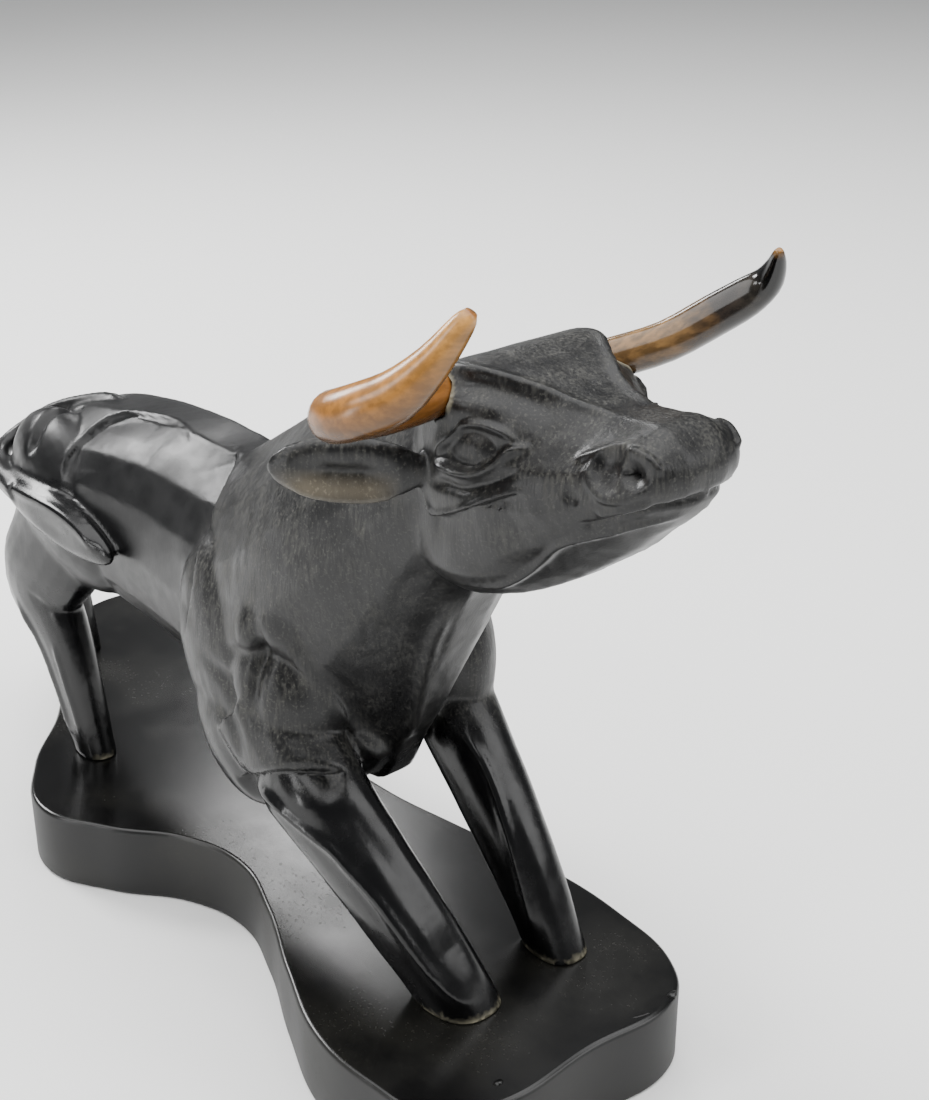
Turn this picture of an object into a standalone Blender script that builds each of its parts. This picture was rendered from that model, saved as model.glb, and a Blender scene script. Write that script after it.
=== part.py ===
"""Carved bull striding on a free-form plinth, with two horn tips let into its head.

Metres, +Z up. The bull faces +X and its left side is +Y. The origin is on the underside of the plinth.
"""
import math

import bmesh
import bpy
import numpy as np
from mathutils import Matrix, Vector

MM = 0.001

# Plinth
PLINTH_LENGTH = 251 * MM
PLINTH_WIDTH = 99 * MM
PLINTH_THICKNESS = 20 * MM
PLINTH_EDGE_RADIUS = 1.2 * MM

# Bull, from its soles to the poll between the horns
BULL_HEIGHT = 152 * MM

# Fits
GLUE_GAP = 0.3 * MM

# Mesh fineness
VOXEL = 1.1 * MM
WELD = 0.02 * MM
BULL_TRIANGLES = 7900

UNIT = BULL_HEIGHT / 152
SOLE = PLINTH_THICKNESS + GLUE_GAP


def place(point):
    """A point in the carver's units (about 1 mm, Z from the soles) as a world position."""
    return Vector((point[0] * UNIT, point[1] * UNIT, SOLE + point[2] * UNIT))


def clear_scene():
    for old in list(bpy.data.objects):
        bpy.data.objects.remove(old, do_unlink=True)


def collection(name):
    made = bpy.data.collections.new(name)
    bpy.context.scene.collection.children.link(made)
    return made


def material(name, color, roughness):
    made = bpy.data.materials.new(name)
    made.use_nodes = True
    shader = made.node_tree.nodes["Principled BSDF"]
    shader.inputs["Base Color"].default_value = (*color, 1)
    shader.inputs["Roughness"].default_value = roughness
    return made


def glide(rows, per_gap):
    """Rows of numbers joined by a Catmull-Rom curve."""
    rows = np.array(rows, float)
    ends = np.vstack([2 * rows[0] - rows[1], rows, 2 * rows[-1] - rows[-2]])
    out = []
    for i in range(len(rows) - 1):
        a, b, c, d = ends[i:i + 4]
        for k in range(per_gap):
            t = k / per_gap
            out.append(0.5 * (2 * b + (c - a) * t + (2 * a - 5 * b + 4 * c - d) * t * t
                              + (3 * b - a - 3 * c + d) * t ** 3))
    out.append(rows[-1])
    return np.array(out)


def skin(name, rings):
    """A closed mesh through rings of points, with its two ends capped."""
    mesh = bpy.data.meshes.new(name)
    count = len(rings[0])
    points = [place(p) for ring in rings for p in ring]
    faces = []
    for r in range(len(rings) - 1):
        for i in range(count):
            j = (i + 1) % count
            faces.append((r * count + i, r * count + j, (r + 1) * count + j, (r + 1) * count + i))
    faces.append(tuple(reversed(range(count))))
    faces.append(tuple((len(rings) - 1) * count + i for i in range(count)))
    mesh.from_pydata(points, [], faces)
    bm = bmesh.new()
    bm.from_mesh(mesh)
    bmesh.ops.recalc_face_normals(bm, faces=bm.faces)
    bm.to_mesh(mesh)
    bm.free()
    made = bpy.data.objects.new(name, mesh)
    bpy.context.scene.collection.objects.link(made)
    return made


LEVELS = np.array([0, 0.1, 0.3, 0.5, 0.7, 0.88, 1.0])


def upright_loft(name, rows, per_gap=5):
    """Rings that stand across the midline: top x z, bottom x z, then half widths at LEVELS from below."""
    rings = []
    fine = np.linspace(0, 1, 15)
    for row in glide(rows, per_gap):
        top, bottom, widths = row[:2], row[2:4], row[4:]
        half = np.interp(fine, LEVELS, widths)
        line = [bottom + (top - bottom) * t for t in fine]
        ring = [(p[0], -w, p[1]) for p, w in zip(line, half)]
        ring += [(p[0], w, p[1]) for p, w in zip(reversed(line), reversed(half))]
        rings.append(ring)
    return skin(name, rings)


def barrel(width, low=2.0, high=2.0):
    """Half widths at LEVELS of a rounded section, squarer with a larger power."""
    out = []
    for t in LEVELS:
        h = abs(2 * t - 1)
        power = low if t < 0.5 else high
        out.append(width * max(0.06, 1 - h ** power) ** (1 / power))
    return out


def strut(name, rows, section, per_gap=6):
    """A limb: rows of centre x y z, half width across, half depth fore and aft, swept with a section."""
    rows = glide(rows, per_gap)
    rings = []
    for i, row in enumerate(rows):
        centre = Vector(row[:3])
        along = Vector(rows[min(i + 1, len(rows) - 1)][:3]) - Vector(rows[max(i - 1, 0)][:3])
        along.normalize()
        across = Vector((0, 1, 0)) - along * along.y
        across.normalize()
        fore = across.cross(along)
        if fore.x < 0:
            fore.negate()
        rings.append([centre + across * (u * row[3]) + fore * (v * row[4]) for u, v in section])
    return skin(name, rings)


def round_section(count, power):
    out = []
    for i in range(count):
        a = math.tau * i / count
        c, s = math.cos(a), math.sin(a)
        out.append((math.copysign(abs(c) ** (2 / power), c), math.copysign(abs(s) ** (2 / power), s)))
    return out


def blob(name, centre, radii, turn=(0, 0, 0)):
    """An ellipsoid muscle; turn is in degrees about X, Y and Z."""
    bpy.ops.mesh.primitive_uv_sphere_add(segments=32, ring_count=20, radius=1)
    made = bpy.context.object
    made.name = name
    spin = Matrix.Rotation(math.radians(turn[2]), 4, "Z") @ Matrix.Rotation(math.radians(turn[1]), 4, "Y") \
        @ Matrix.Rotation(math.radians(turn[0]), 4, "X")
    made.matrix_world = Matrix.Translation(place(centre)) @ spin \
        @ Matrix.Diagonal((*(r * UNIT for r in radii), 1))
    made.data.transform(made.matrix_world)
    made.matrix_world = Matrix()
    return made


def trunk():
    rows = []
    for top, bottom, width, low, high in (
            ((-76, 79), (-80, 66), 9, 2, 2), ((-73, 86), (-77, 56), 16, 2, 2),
            ((-64, 92), (-67, 51), 22, 2, 2.2), ((-50, 96), (-52, 46), 24, 2, 2.3),
            ((-30, 99.5), (-32, 43.5), 23.5, 2, 2.2), ((-10, 101.5), (-12, 41.5), 22.5, 2, 2.1),
            ((10, 102), (8, 40.5), 23.5, 2, 2), ((28, 107), (30, 39.5), 26, 2, 2),
            ((42, 115), (46, 40), 26, 2, 2), ((50, 119), (56, 44), 22, 2, 2)):
        rows.append([*top, *bottom, *barrel(width, low, high)])
    return upright_loft("trunk", rows)


def neck():
    rows = []
    for top, bottom, width, low, high in (
            ((8, 97), (38, 46), 22, 2, 2), ((22, 106), (52, 38), 29, 1.5, 2),
            ((38, 116), (63, 38), 31, 1.3, 2), ((52, 125.5), (70, 50), 30, 1.3, 2),
            ((66, 133), (78, 64), 27.5, 1.4, 2), ((80, 139.5), (86, 80), 23.5, 1.6, 2),
            ((92, 144.5), (93, 94), 21, 1.8, 2), ((100, 146), (99, 101), 20, 2, 2),
            ((107, 146), (105, 106), 17.5, 2, 2)):
        rows.append([*top, *bottom, *barrel(width, low, high)])
    return upright_loft("neck", rows)


def head():
    """Broad jaws and forehead, a flat brow, and a muzzle that rises to the lips."""
    rows = [
        [93, 144, 88, 108, 5, 11, 15, 16, 16, 15, 10],
        [98, 147.5, 93, 103, 9, 16, 19, 19.4, 19.3, 19, 15],
        [104, 149.5, 100, 102.5, 12, 18.4, 20.6, 21.2, 20.8, 19.5, 16],
        [110, 149, 107, 103.5, 12, 18.5, 20.5, 22, 21.5, 19, 14.5],
        [117, 147.5, 114, 105, 8, 15, 19, 21.5, 20.5, 16.5, 10.5],
        [124, 145.5, 121, 108.5, 4, 9.5, 16, 19, 18, 12.5, 7],
        [131, 145, 128, 113.5, 3, 7, 14, 16.5, 15.5, 10.5, 5],
        [138, 145.5, 136, 119.5, 3, 6.5, 12, 14.5, 13.5, 10, 4.5],
        [143, 146, 141, 124.5, 3, 6, 11.5, 13.5, 13.5, 10.5, 5],
        [146.5, 144.6, 145.2, 128, 2.5, 5, 9.4, 12, 12, 9.9, 5],
        [149, 142, 148.2, 131.5, 2, 4, 7, 9, 9, 7.4, 3.8],
        [150.2, 139.2, 149.8, 134.8, 1, 2, 3.4, 4.4, 4.4, 3.4, 1.5],
    ]
    return upright_loft("head", rows)


def front_legs():
    ring = round_section(24, 2.5)
    near = strut("near_fore_leg", [(46, -23, 58, 11, 13), (60, -22.5, 46, 10.3, 12),
                                   (74, -19.5, 32.5, 9, 10.6), (86, -15.2, 18, 8.4, 9.6),
                                   (93.6, -10.8, 5, 7.8, 8.8), (96.8, -8.6, -2, 7.6, 8.4),
                                   (99.5, -7.2, -8, 7.5, 8.2)], ring)
    far = strut("far_fore_leg", [(48, 19, 60, 9, 11), (62, 18.5, 47, 8.8, 10.4),
                                 (78, 18.5, 28, 7.7, 9.2), (88.5, 19, 13, 6.8, 8),
                                 (96, 19.4, 0, 6.2, 7), (99.5, 19.4, -7, 6, 6.8)], ring)
    return [near, far]


def hind_legs():
    ring = round_section(20, 2.3)
    near = strut("near_hind_leg", [(-50, -15, 72, 10, 20), (-60, -18, 56, 8.5, 17),
                                   (-67, -20, 44.5, 7.5, 14.5), (-58.5, -19.5, 33, 6.4, 9.8),
                                   (-53, -19.2, 20, 5.6, 8.4), (-49.3, -19, 7, 5.2, 7.2),
                                   (-47, -19, 0, 5, 6.6), (-45, -19, -7, 5, 6.6)], ring)
    far = strut("far_hind_leg", [(-64, 12, 72, 9, 17), (-82, 11, 58, 8, 13), (-99, 8, 45, 7, 10.5),
                                 (-107, 7.5, 34, 5.6, 8.5), (-106.5, 7.5, 20, 4.8, 6.8),
                                 (-104, 7.5, 8, 4.6, 6.2), (-103, 7.5, 0, 4.8, 6.2),
                                 (-102, 7.5, -7, 4.8, 6.2)], ring)
    return [near, far]


def muscles():
    return [
        blob("near_haunch", (-51, -14, 71.5), (29, 13, 21), (0, 24, 0)),
        blob("far_haunch", (-66, 11, 66), (23, 12, 19), (0, 30, 0)),
        blob("near_shoulder", (36, -19, 66), (22, 13, 28), (0, -20, 0)),
        blob("near_elbow", (39.5, -23, 48.5), (14, 9.5, 19), (0, -38, 0)),
        blob("near_chest", (52, -19.5, 64), (14, 13, 17), (0, -15, 0)),
        blob("brisket", (57.5, -7, 50.5), (9.5, 12, 11.5), (0, -20, 0)),
        blob("far_shoulder", (49, 19.2, 63), (21, 13, 26), (0, -25, 0)),
        blob("near_ear", (91, -31, 129), (15, 3.4, 6.6), (0, 0, 46)),
        blob("far_ear", (91, 31, 129), (15, 3.4, 6.6), (0, 0, -46)),
    ]


def tube(name, points, extra=0.0):
    """A tapered round bar through rows of x y z and radius, made wider by extra."""
    curve = bpy.data.curves.new(name, "CURVE")
    curve.dimensions = "3D"
    curve.bevel_depth = 1
    curve.bevel_resolution = 3
    curve.use_fill_caps = True
    curve.resolution_u = 8
    spline = curve.splines.new("POLY")
    rows = glide(points, 3)
    spline.points.add(len(rows) - 1)
    for target, row in zip(spline.points, rows):
        target.co = (*place(row[:3]), 1)
        target.radius = row[3] * UNIT + extra
    made = bpy.data.objects.new(name, curve)
    bpy.context.scene.collection.objects.link(made)
    return made


def as_mesh(source):
    """The evaluated object as a plain mesh object of the same name, with its caps welded."""
    graph = bpy.context.evaluated_depsgraph_get()
    mesh = bpy.data.meshes.new_from_object(source.evaluated_get(graph))
    bm = bmesh.new()
    bm.from_mesh(mesh)
    bmesh.ops.remove_doubles(bm, verts=bm.verts, dist=WELD)
    bmesh.ops.recalc_face_normals(bm, faces=bm.faces)
    bm.to_mesh(mesh)
    bm.free()
    name = source.name
    made = bpy.data.objects.new(name, mesh)
    made.matrix_world = source.matrix_world
    bpy.context.scene.collection.objects.link(made)
    bpy.data.objects.remove(source, do_unlink=True)
    made.name = name
    return made


def tail():
    band = as_mesh(tube("tail_band", [(-46, 0, 93, 2.2), (-55, 0, 94.2, 2.3), (-66, -2, 91.5, 2.2),
                                      (-77, -6.5, 87, 2.2), (-84.5, -13, 80.5, 2.3), (-82.5, -20, 77, 2.8),
                                      (-72, -25, 75.5, 3.6), (-58, -26.5, 75, 4)]))
    tuft = blob("tail_tuft", (-43, -25.5, 73), (29, 4.5, 7), (0, 4, 0))
    return [band, tuft]


def right_horn():
    """Rows of x y z and radius, from the root in the head to the tip."""
    return [(99, -16, 143.2, 4.3), (102, -21, 143.6, 4.4), (104.5, -33, 144.6, 4.6),
            (108.5, -46, 147.6, 4.6), (115.5, -46.5, 150.6, 4.8), (121.5, -43, 154.2, 4.5),
            (126.5, -39.5, 160.3, 3.3), (129.8, -36.2, 166.6, 2.2), (130.8, -35.3, 168.6, 1.2)]


def left_horn():
    return [(107, 12, 143.3, 4.1), (110, 17, 144.6, 4.1), (114.5, 26, 147, 4.1), (117, 36, 150.6, 4.2),
            (119.5, 42, 153.6, 4.0), (122.5, 44, 156.8, 3.2), (125, 43.2, 160.5, 2.2),
            (126.6, 41.8, 163.4, 1.3), (127.1, 41.3, 164.4, 0.7)]


def plinth_outline():
    """A lobe at each end and a waist between, in shares of length and width; the rear one swings left."""
    right = [(0.498, -0.24), (0.474, -0.353), (0.414, -0.394), (0.343, -0.394), (0.255, -0.318),
             (0.167, -0.222), (0.088, -0.172), (0.016, -0.222), (-0.052, -0.353), (-0.124, -0.434),
             (-0.203, -0.348), (-0.283, -0.172), (-0.371, -0.04), (-0.442, 0.05)]
    left = [(-0.494, 0.192), (-0.49, 0.424), (-0.398, 0.562), (-0.263, 0.545), (-0.135, 0.414),
            (-0.032, 0.303), (0.072, 0.293), (0.175, 0.333), (0.279, 0.384), (0.382, 0.394),
            (0.466, 0.354), (0.498, 0.273), (0.498, 0.02)]
    return [(along * PLINTH_LENGTH, across * PLINTH_WIDTH) for along, across in right + left]


def slab(name, outline, fineness, edge_steps):
    """The outline sawn from a board, with its edges just broken."""
    curve = bpy.data.curves.new(name, "CURVE")
    curve.dimensions = "2D"
    curve.fill_mode = "BOTH"
    curve.extrude = PLINTH_THICKNESS / 2 - PLINTH_EDGE_RADIUS
    curve.bevel_depth = PLINTH_EDGE_RADIUS
    curve.bevel_resolution = edge_steps
    curve.resolution_u = fineness
    spline = curve.splines.new("BEZIER")
    spline.bezier_points.add(len(outline) - 1)
    for target, (x, y) in zip(spline.bezier_points, outline):
        target.co = (x, y, 0)
        target.handle_left_type = target.handle_right_type = "AUTO"
    spline.use_cyclic_u = True
    made = bpy.data.objects.new(name, curve)
    made.location.z = PLINTH_THICKNESS / 2
    bpy.context.scene.collection.objects.link(made)
    return made


def fuse(name, pieces):
    """All pieces joined into one watertight skin of even faces."""
    base = pieces[0]
    bpy.ops.object.select_all(action="DESELECT")
    for piece in pieces:
        piece.select_set(True)
    bpy.context.view_layer.objects.active = base
    bpy.ops.object.join()
    base.name = name
    remesh = base.modifiers.new("fuse", "REMESH")
    remesh.mode = "VOXEL"
    remesh.voxel_size = VOXEL
    relax = base.modifiers.new("polish", "SMOOTH")
    relax.factor = 0.5
    relax.iterations = 4
    return as_mesh(base)


class Skin:
    """The points of a fused body in the carver's units, worked by moving them along their normals."""

    def __init__(self, body):
        self.mesh = body.data
        count = len(self.mesh.vertices)
        flat = np.empty(count * 3)
        self.mesh.vertices.foreach_get("co", flat)
        self.points = (flat.reshape(-1, 3) - (0, 0, SOLE)) / UNIT
        self.mesh.vertices.foreach_get("normal", flat)
        self.normals = flat.reshape(-1, 3).copy()

    def lay(self, stops, per_gap=6):
        """A smooth line through the stops, laid on the skin."""
        line = glide(stops, per_gap)
        line = np.array([self.points[np.argmin(((self.points - p) ** 2).sum(1))] for p in line])
        for _ in range(4):
            line[1:-1] = (line[:-2] + 2 * line[1:-1] + line[2:]) / 4
        return line

    def around(self, line, reach):
        """Points near the line: their indices, distances, sides (left is +1) and shares of its length."""
        low, high = line.min(0) - reach, line.max(0) + reach
        near = np.nonzero(((self.points > low) & (self.points < high)).all(1))[0]
        best = np.full(len(near), np.inf)
        side = np.zeros(len(near))
        share = np.zeros(len(near))
        p, n = self.points[near], self.normals[near]
        steps = np.linalg.norm(np.diff(line, axis=0), axis=1)
        total = steps.sum()
        run = 0.0
        for a, b, length in zip(line[:-1], line[1:], steps):
            if length < 1e-9:
                continue
            t = np.clip((p - a) @ (b - a) / length ** 2, 0, 1)
            off = p - (a + t[:, None] * (b - a))
            d = np.linalg.norm(off, axis=1)
            closer = d < best
            best[closer] = d[closer]
            left = (np.cross(n[closer], (b - a) / length) * off[closer]).sum(1)
            side[closer] = np.sign(left)
            share[closer] = (run + t[closer] * length) / total
            run += length
        keep = best < reach
        return near[keep], best[keep], side[keep], share[keep]

    def press(self, near, depth):
        self.points[near] -= self.normals[near] * depth[:, None]

    def groove(self, stops, width, depth, fade=0.15):
        """A round-bottomed cut along a line; a negative depth raises a ridge."""
        near, d, _, share = self.around(self.lay(stops), width * 2.5)
        ends = np.clip(np.minimum(share, 1 - share) / fade, 0, 1) if fade else 1
        self.press(near, depth * np.exp(-(d / width) ** 2) * ends)

    def step(self, stops, side, depth, reach, edge=0.8, fade=0.12):
        """The skin on one side of a line cut back, sharply at the line and dying out over the reach."""
        near, d, where, share = self.around(self.lay(stops), reach)
        ends = np.clip(np.minimum(share, 1 - share) / fade, 0, 1)
        rise = np.clip(d / edge, 0, 1)
        fall = 1 - np.clip((d - edge) / (reach - edge), 0, 1)
        self.press(near, np.where(where * side > 0, depth * rise * fall ** 1.5, 0) * ends)

    def dimple(self, centre, radius, depth):
        """A round hollow, or a swelling where the depth is negative; radius is one number or three."""
        away = np.linalg.norm((self.points - centre) / radius, axis=1)
        near = np.nonzero(away < 1)[0]
        self.press(near, depth * (1 - away[near] ** 2) ** 2)

    def keep(self):
        flat = (self.points * UNIT + (0, 0, SOLE)).ravel()
        self.mesh.vertices.foreach_set("co", flat)
        self.mesh.update()


def both(stops):
    """The stops on the near side and mirrored on the far side, each with its sense of left and right."""
    stops = np.array(stops, float)
    return ((stops, 1), (stops * (1, -1, 1), -1))


def carve_brow(skin):
    """The edge of the flat forehead, the hollow beside it and the heavy brow over the eye."""
    for line, _ in both([(103, -17, 149.2), (108.3, -15, 149), (116, -10.6, 147.8), (121.5, -7.2, 146.3),
                         (127, -5.6, 145.2), (133, -4, 145)]):
        skin.groove(line, 1.1, -0.7)
    for line, _ in both([(104, -20, 146.5), (110.5, -17.4, 147.2), (117, -13, 146.2), (124, -9.6, 144.4)]):
        skin.groove(line, 2.2, 0.7)
    for line, _ in both([(101, -21, 140.5), (106, -20.5, 143.6), (112, -18.5, 144.8), (118, -14.8, 143.6)]):
        skin.groove(line, 2.4, -1.0, 0.3)


def carve_eye(skin):
    """An almond eye between raised lids."""
    for y in (-21, 21):
        skin.dimple((112.6, y, 136.6), (9.5, 9, 5.4), 2.0)
        skin.dimple((112.4, y, 136.6), (6.2, 6, 3.6), -2.6)
    for line, _ in both([(103.5, -21.8, 132.6), (106.3, -21.8, 136.2), (109.8, -20.8, 139.6),
                         (113.5, -19, 140.8), (117.4, -17.2, 140.4), (120.6, -16.2, 139)]):
        skin.groove(line, 0.75, -1.2)
    for line, _ in both([(102.8, -21.8, 132), (107, -22.3, 132.2), (111.5, -22.2, 132.5), (115, -21.3, 133.6),
                         (118, -19.5, 135.6), (120, -17.6, 137.8), (123, -15.4, 139)]):
        skin.groove(line, 0.85, -1.7)


def carve_cheek(skin):
    """Wrinkles under the eye, and the raised cheek that ends in a sharp step."""
    for line, _ in both([(102.5, -21.5, 127.5), (107, -22, 128.6), (112, -22, 129.2), (118, -20.7, 132),
                         (123, -18, 135.4)]):
        skin.groove(line, 1.0, 0.9)
    for line, sense in both([(99.8, -21.8, 125.2), (100.8, -21.3, 122.2), (103.2, -21.3, 121.2),
                             (106.5, -21.6, 122.4), (110, -22, 124.3), (113.6, -21.9, 126.2),
                             (118.7, -20.8, 129.2), (124, -18.5, 132)]):
        skin.step(line, -sense, 2.0, 12, 0.8, 0.18)
        skin.groove(line, 0.8, -0.7)


def carve_muzzle(skin):
    """A wide nostril with a raised rim, the lips and the dent beside them."""
    for y in (-13, 13):
        skin.dimple((140.4, y, 139), (7.4, 6, 5), 1.6)
        skin.dimple((144.2, y * 0.95, 139.4), (3.8, 5, 3), 2.8)
    for line, _ in both([(139.5, -11.6, 142.8), (136.4, -12.2, 141.2), (135.2, -13.4, 138.4),
                         (136.6, -14, 135.6), (140.2, -14, 134.2), (144.2, -13.4, 135.2),
                         (147, -12, 137.4)]):
        skin.groove(line, 1.1, -0.8, 0.3)
    for line, _ in both([(140.5, -11.4, 143.2), (144.2, -11, 143.6), (147.2, -10.2, 142.2),
                         (148.2, -9.6, 139.8)]):
        skin.groove(line, 0.9, -0.8)
    for line, _ in both([(131, -13.8, 139), (135.5, -12, 142.6), (141.5, -9.2, 145)]):
        skin.groove(line, 0.9, -0.6)
    for line, _ in both([(134, -14, 126.2), (138, -13, 127.6), (142, -12, 129.8), (145, -10.5, 132),
                         (148, -6.5, 133.8), (149.6, 0, 134.8)]):
        skin.groove(line, 0.8, 1.0, 0.05)
    for line, _ in both([(137, -13.4, 130), (142, -12.4, 132.2), (146.5, -9.4, 135)]):
        skin.groove(line, 1.2, -0.8)
    for y in (-15.5, 15.5):
        skin.dimple((133, y, 132.6), (2.4, 4, 2.2), 0.7)


def carve_jaw_and_ears(skin):
    """The edge of the lower jaw, and in each ear a long hollow with a raised lower rim."""
    for line, _ in both([(108, -19, 103.4), (114, -16.8, 105.4), (119, -14.5, 109), (124, -13, 115),
                         (129, -14, 120.6), (136, -12, 123.6), (143.5, -8.5, 127.6), (148, -2, 131.4)]):
        skin.groove(line, 0.9, -0.8)
    for line, _ in both([(100.5, -25.5, 128.8), (97, -29.5, 128.4), (93.4, -33.4, 128.2), (89, -37.2, 128.6),
                         (85, -40.5, 129.4)]):
        skin.groove(line, 3.3, 2.9, 0.35)
    for line, _ in both([(100, -24.8, 124.6), (96, -29, 123.2), (92.5, -32.7, 123), (88, -36.8, 124),
                         (84, -40, 126.6)]):
        skin.groove(line, 0.9, -0.8)


def carve_head(skin):
    """Everything is cut the same on both sides."""
    carve_brow(skin)
    carve_eye(skin)
    carve_cheek(skin)
    carve_muzzle(skin)
    carve_jaw_and_ears(skin)


def carve_body(skin):
    """Shoulder, chest and keel at the front; the polished flank and the fold of the tail behind."""
    for line, sense in both([(10, -2, 103), (17, -10, 101.5), (20, -17, 97), (24, -22, 91), (28, -27, 85),
                             (29, -30, 77), (27, -31, 67)]):
        skin.step(line, -sense, 1.8, 14, 1.5)
    skin.dimple((52, -30.5, 80), (6, 8, 7), -1.6)
    skin.dimple((60.5, -28, 81), (6.5, 8, 7), -1.8)
    skin.groove([(57, -29, 84), (55.5, -28.5, 76), (54, -27, 68), (54.5, -27, 57)], 2.0, 1.8, 0.35)
    skin.groove([(61, -27, 80), (64, -21, 70), (65, -16, 60), (66, -9, 50), (66.5, -4, 44)], 2.2, -1.4)
    skin.groove([(92, -6.6, 95), (86, -7, 84), (77.5, -5, 65), (70.5, -2, 51)], 1.6, -1.0)
    crescent = [(-40.5, -24.5, 81.5), (-43, -21.5, 85.7), (-43.2, -16, 90.7), (-41.5, -9.6, 93.8),
                (-35.7, -6, 96), (-24, -3.7, 98.6), (-12, -4, 99.5), (-3, -6.5, 99.2)]
    skin.step(crescent, -1, 2.0, 17, 1.0, 0.3)
    skin.groove(crescent, 1.0, -0.4)
    skin.groove([(-56, -24.5, 84), (-57.5, -20, 89), (-59, -13, 92), (-58, -6, 93.5)], 1.8, 2.2)
    skin.groove([(-66, -29, 75.5), (-52, -29.6, 77), (-38, -29.2, 78), (-27, -27.8, 76), (-18, -25, 71)],
                1.3, -1.0)
    skin.dimple((-36, -30, 72), (14, 6, 4.5), 0.9)


def carve_legs(skin):
    """The rim where the chest overhangs the near leg, the crease of the arm, and ridges down the shins."""
    rim = [(45, -31, 40.5), (52, -32.5, 45), (59, -33, 49.5), (65, -31, 52.3), (68.5, -27, 53),
           (71, -20, 51)]
    skin.step(rim, -1, 2.6, 9, 0.8, 0.1)
    skin.groove(rim, 0.9, 0.8)
    skin.groove([(33, -31.5, 68), (42.7, -31.5, 65.5), (49, -32.5, 58), (51.5, -33, 50), (48, -31.4, 43)],
                2.2, 1.0, 0.3)
    skin.groove([(46.5, -31, 41), (60.3, -32.5, 43.5), (67.7, -31, 41), (75.5, -28.2, 38), (81, -25.5, 33.2),
                 (87.5, -22.5, 26.4), (92, -19.8, 19.4), (95.8, -17, 12.4), (98.6, -14.4, 7),
                 (101, -10.6, 2.4)], 1.3, -1.2)
    skin.groove([(70, -26, 47), (79, -21.5, 38), (86.5, -17.5, 28), (92.5, -14, 17), (97.5, -11, 7)],
                4.2, 0.9)
    skin.groove([(70.8, 12, 48.9), (78.3, 13.6, 41), (83.6, 13.8, 32.1), (88.8, 13.6, 21.9),
                 (93.6, 13.4, 11.6), (97.8, 13.2, 1.9)], 1.3, -1.0)
    skin.groove([(-70, -25, 40), (-62, -25, 30), (-55.5, -24.2, 17), (-51, -23.6, 3)], 1.2, -0.9)
    skin.groove([(-54, -25.5, 32), (-49.5, -24.6, 19), (-45.5, -23.8, 5)], 1.1, -0.6)


def carve(body):
    skin = Skin(body)
    carve_head(skin)
    carve_body(skin)
    carve_legs(skin)
    skin.keep()


def lighten(body, triangles):
    """Fewer triangles, kept where the form turns."""
    faces = sum(len(p.vertices) - 2 for p in body.data.polygons)
    thin = body.modifiers.new("lighten", "DECIMATE")
    thin.ratio = min(1, triangles / faces)
    return as_mesh(body)


def cutter(source, cutters):
    made = as_mesh(source) if source.type == "CURVE" else source
    for home in list(made.users_collection):
        home.objects.unlink(made)
    cutters.objects.link(made)
    made.hide_render = True
    made.display_type = "WIRE"
    return made


def socket(name, horn):
    """The hole that a horn is glued into: its root, a glue gap wider and deeper."""
    root, first = Vector(horn[0][:3]), Vector(horn[1][:3])
    deeper = root - (first - root).normalized() * (GLUE_GAP / UNIT)
    return tube(name, [(*deeper, horn[0][3]), *horn[1:3]], GLUE_GAP)


def box(name, low, high):
    bpy.ops.mesh.primitive_cube_add(size=1)
    made = bpy.context.object
    made.name = name
    low, high = Vector(low), Vector(high)
    made.data.transform(Matrix.Translation((low + high) / 2) @ Matrix.Diagonal((*(high - low), 1)))
    return made


def cut(body, tool):
    step = body.modifiers.new("cut_" + tool.name, "BOOLEAN")
    step.operation = "DIFFERENCE"
    step.solver = "EXACT"
    step.object = tool


def bull(cutters):
    body = fuse("bull", [trunk(), neck(), head(), *front_legs(), *hind_legs(), *muscles(), *tail()])
    carve(body)
    body = lighten(body, BULL_TRIANGLES)
    reach = PLINTH_LENGTH
    ground = box("ground_cut", (-reach, -reach, -reach), (reach, reach, SOLE))
    for tool in (ground, socket("right_socket", right_horn()), socket("left_socket", left_horn())):
        cut(body, cutter(tool, cutters))
    return body


def main():
    clear_scene()
    figure = collection("bull_sculpture")
    cutters = collection("cutters")
    wood = material("ebonised_wood", (0.016, 0.016, 0.017), 0.35)
    plinth_wood = material("plinth_wood", (0.014, 0.014, 0.015), 0.45)
    amber = material("amber_horn", (0.45, 0.22, 0.07), 0.25)
    dark = material("dark_horn", (0.12, 0.07, 0.04), 0.2)
    right = as_mesh(tube("right_horn", right_horn()))
    left = as_mesh(tube("left_horn", left_horn()))
    base = slab("plinth", plinth_outline(), fineness=4, edge_steps=0)
    body = bull(cutters)
    for rounded in (body, right, left):
        rounded.data.shade_smooth()
    for piece, finish in ((body, wood), (right, amber), (left, dark), (base, plinth_wood)):
        piece.data.materials.clear()
        piece.data.materials.append(finish)
        for home in list(piece.users_collection):
            home.objects.unlink(piece)
        figure.objects.link(piece)


main()
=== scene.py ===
# %% [markdown]
# # A carved bull on its plinth
#
# This lesson dresses a small carved sculpture: a striding bull in blackened wood, glued to a free-form
# wooden plinth, with two real horn tips let into its head. The solids of the construction model are
# already in place, in metres, with the bull facing +X. They fix every size. Here each one gets the
# surface that the eye sees: tool marks, polish, dust, glue and the glassy layers of the horn.

import math

import bmesh
import bpy
import numpy as np
from mathutils import Matrix, Vector
from mathutils.noise import noise


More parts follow.
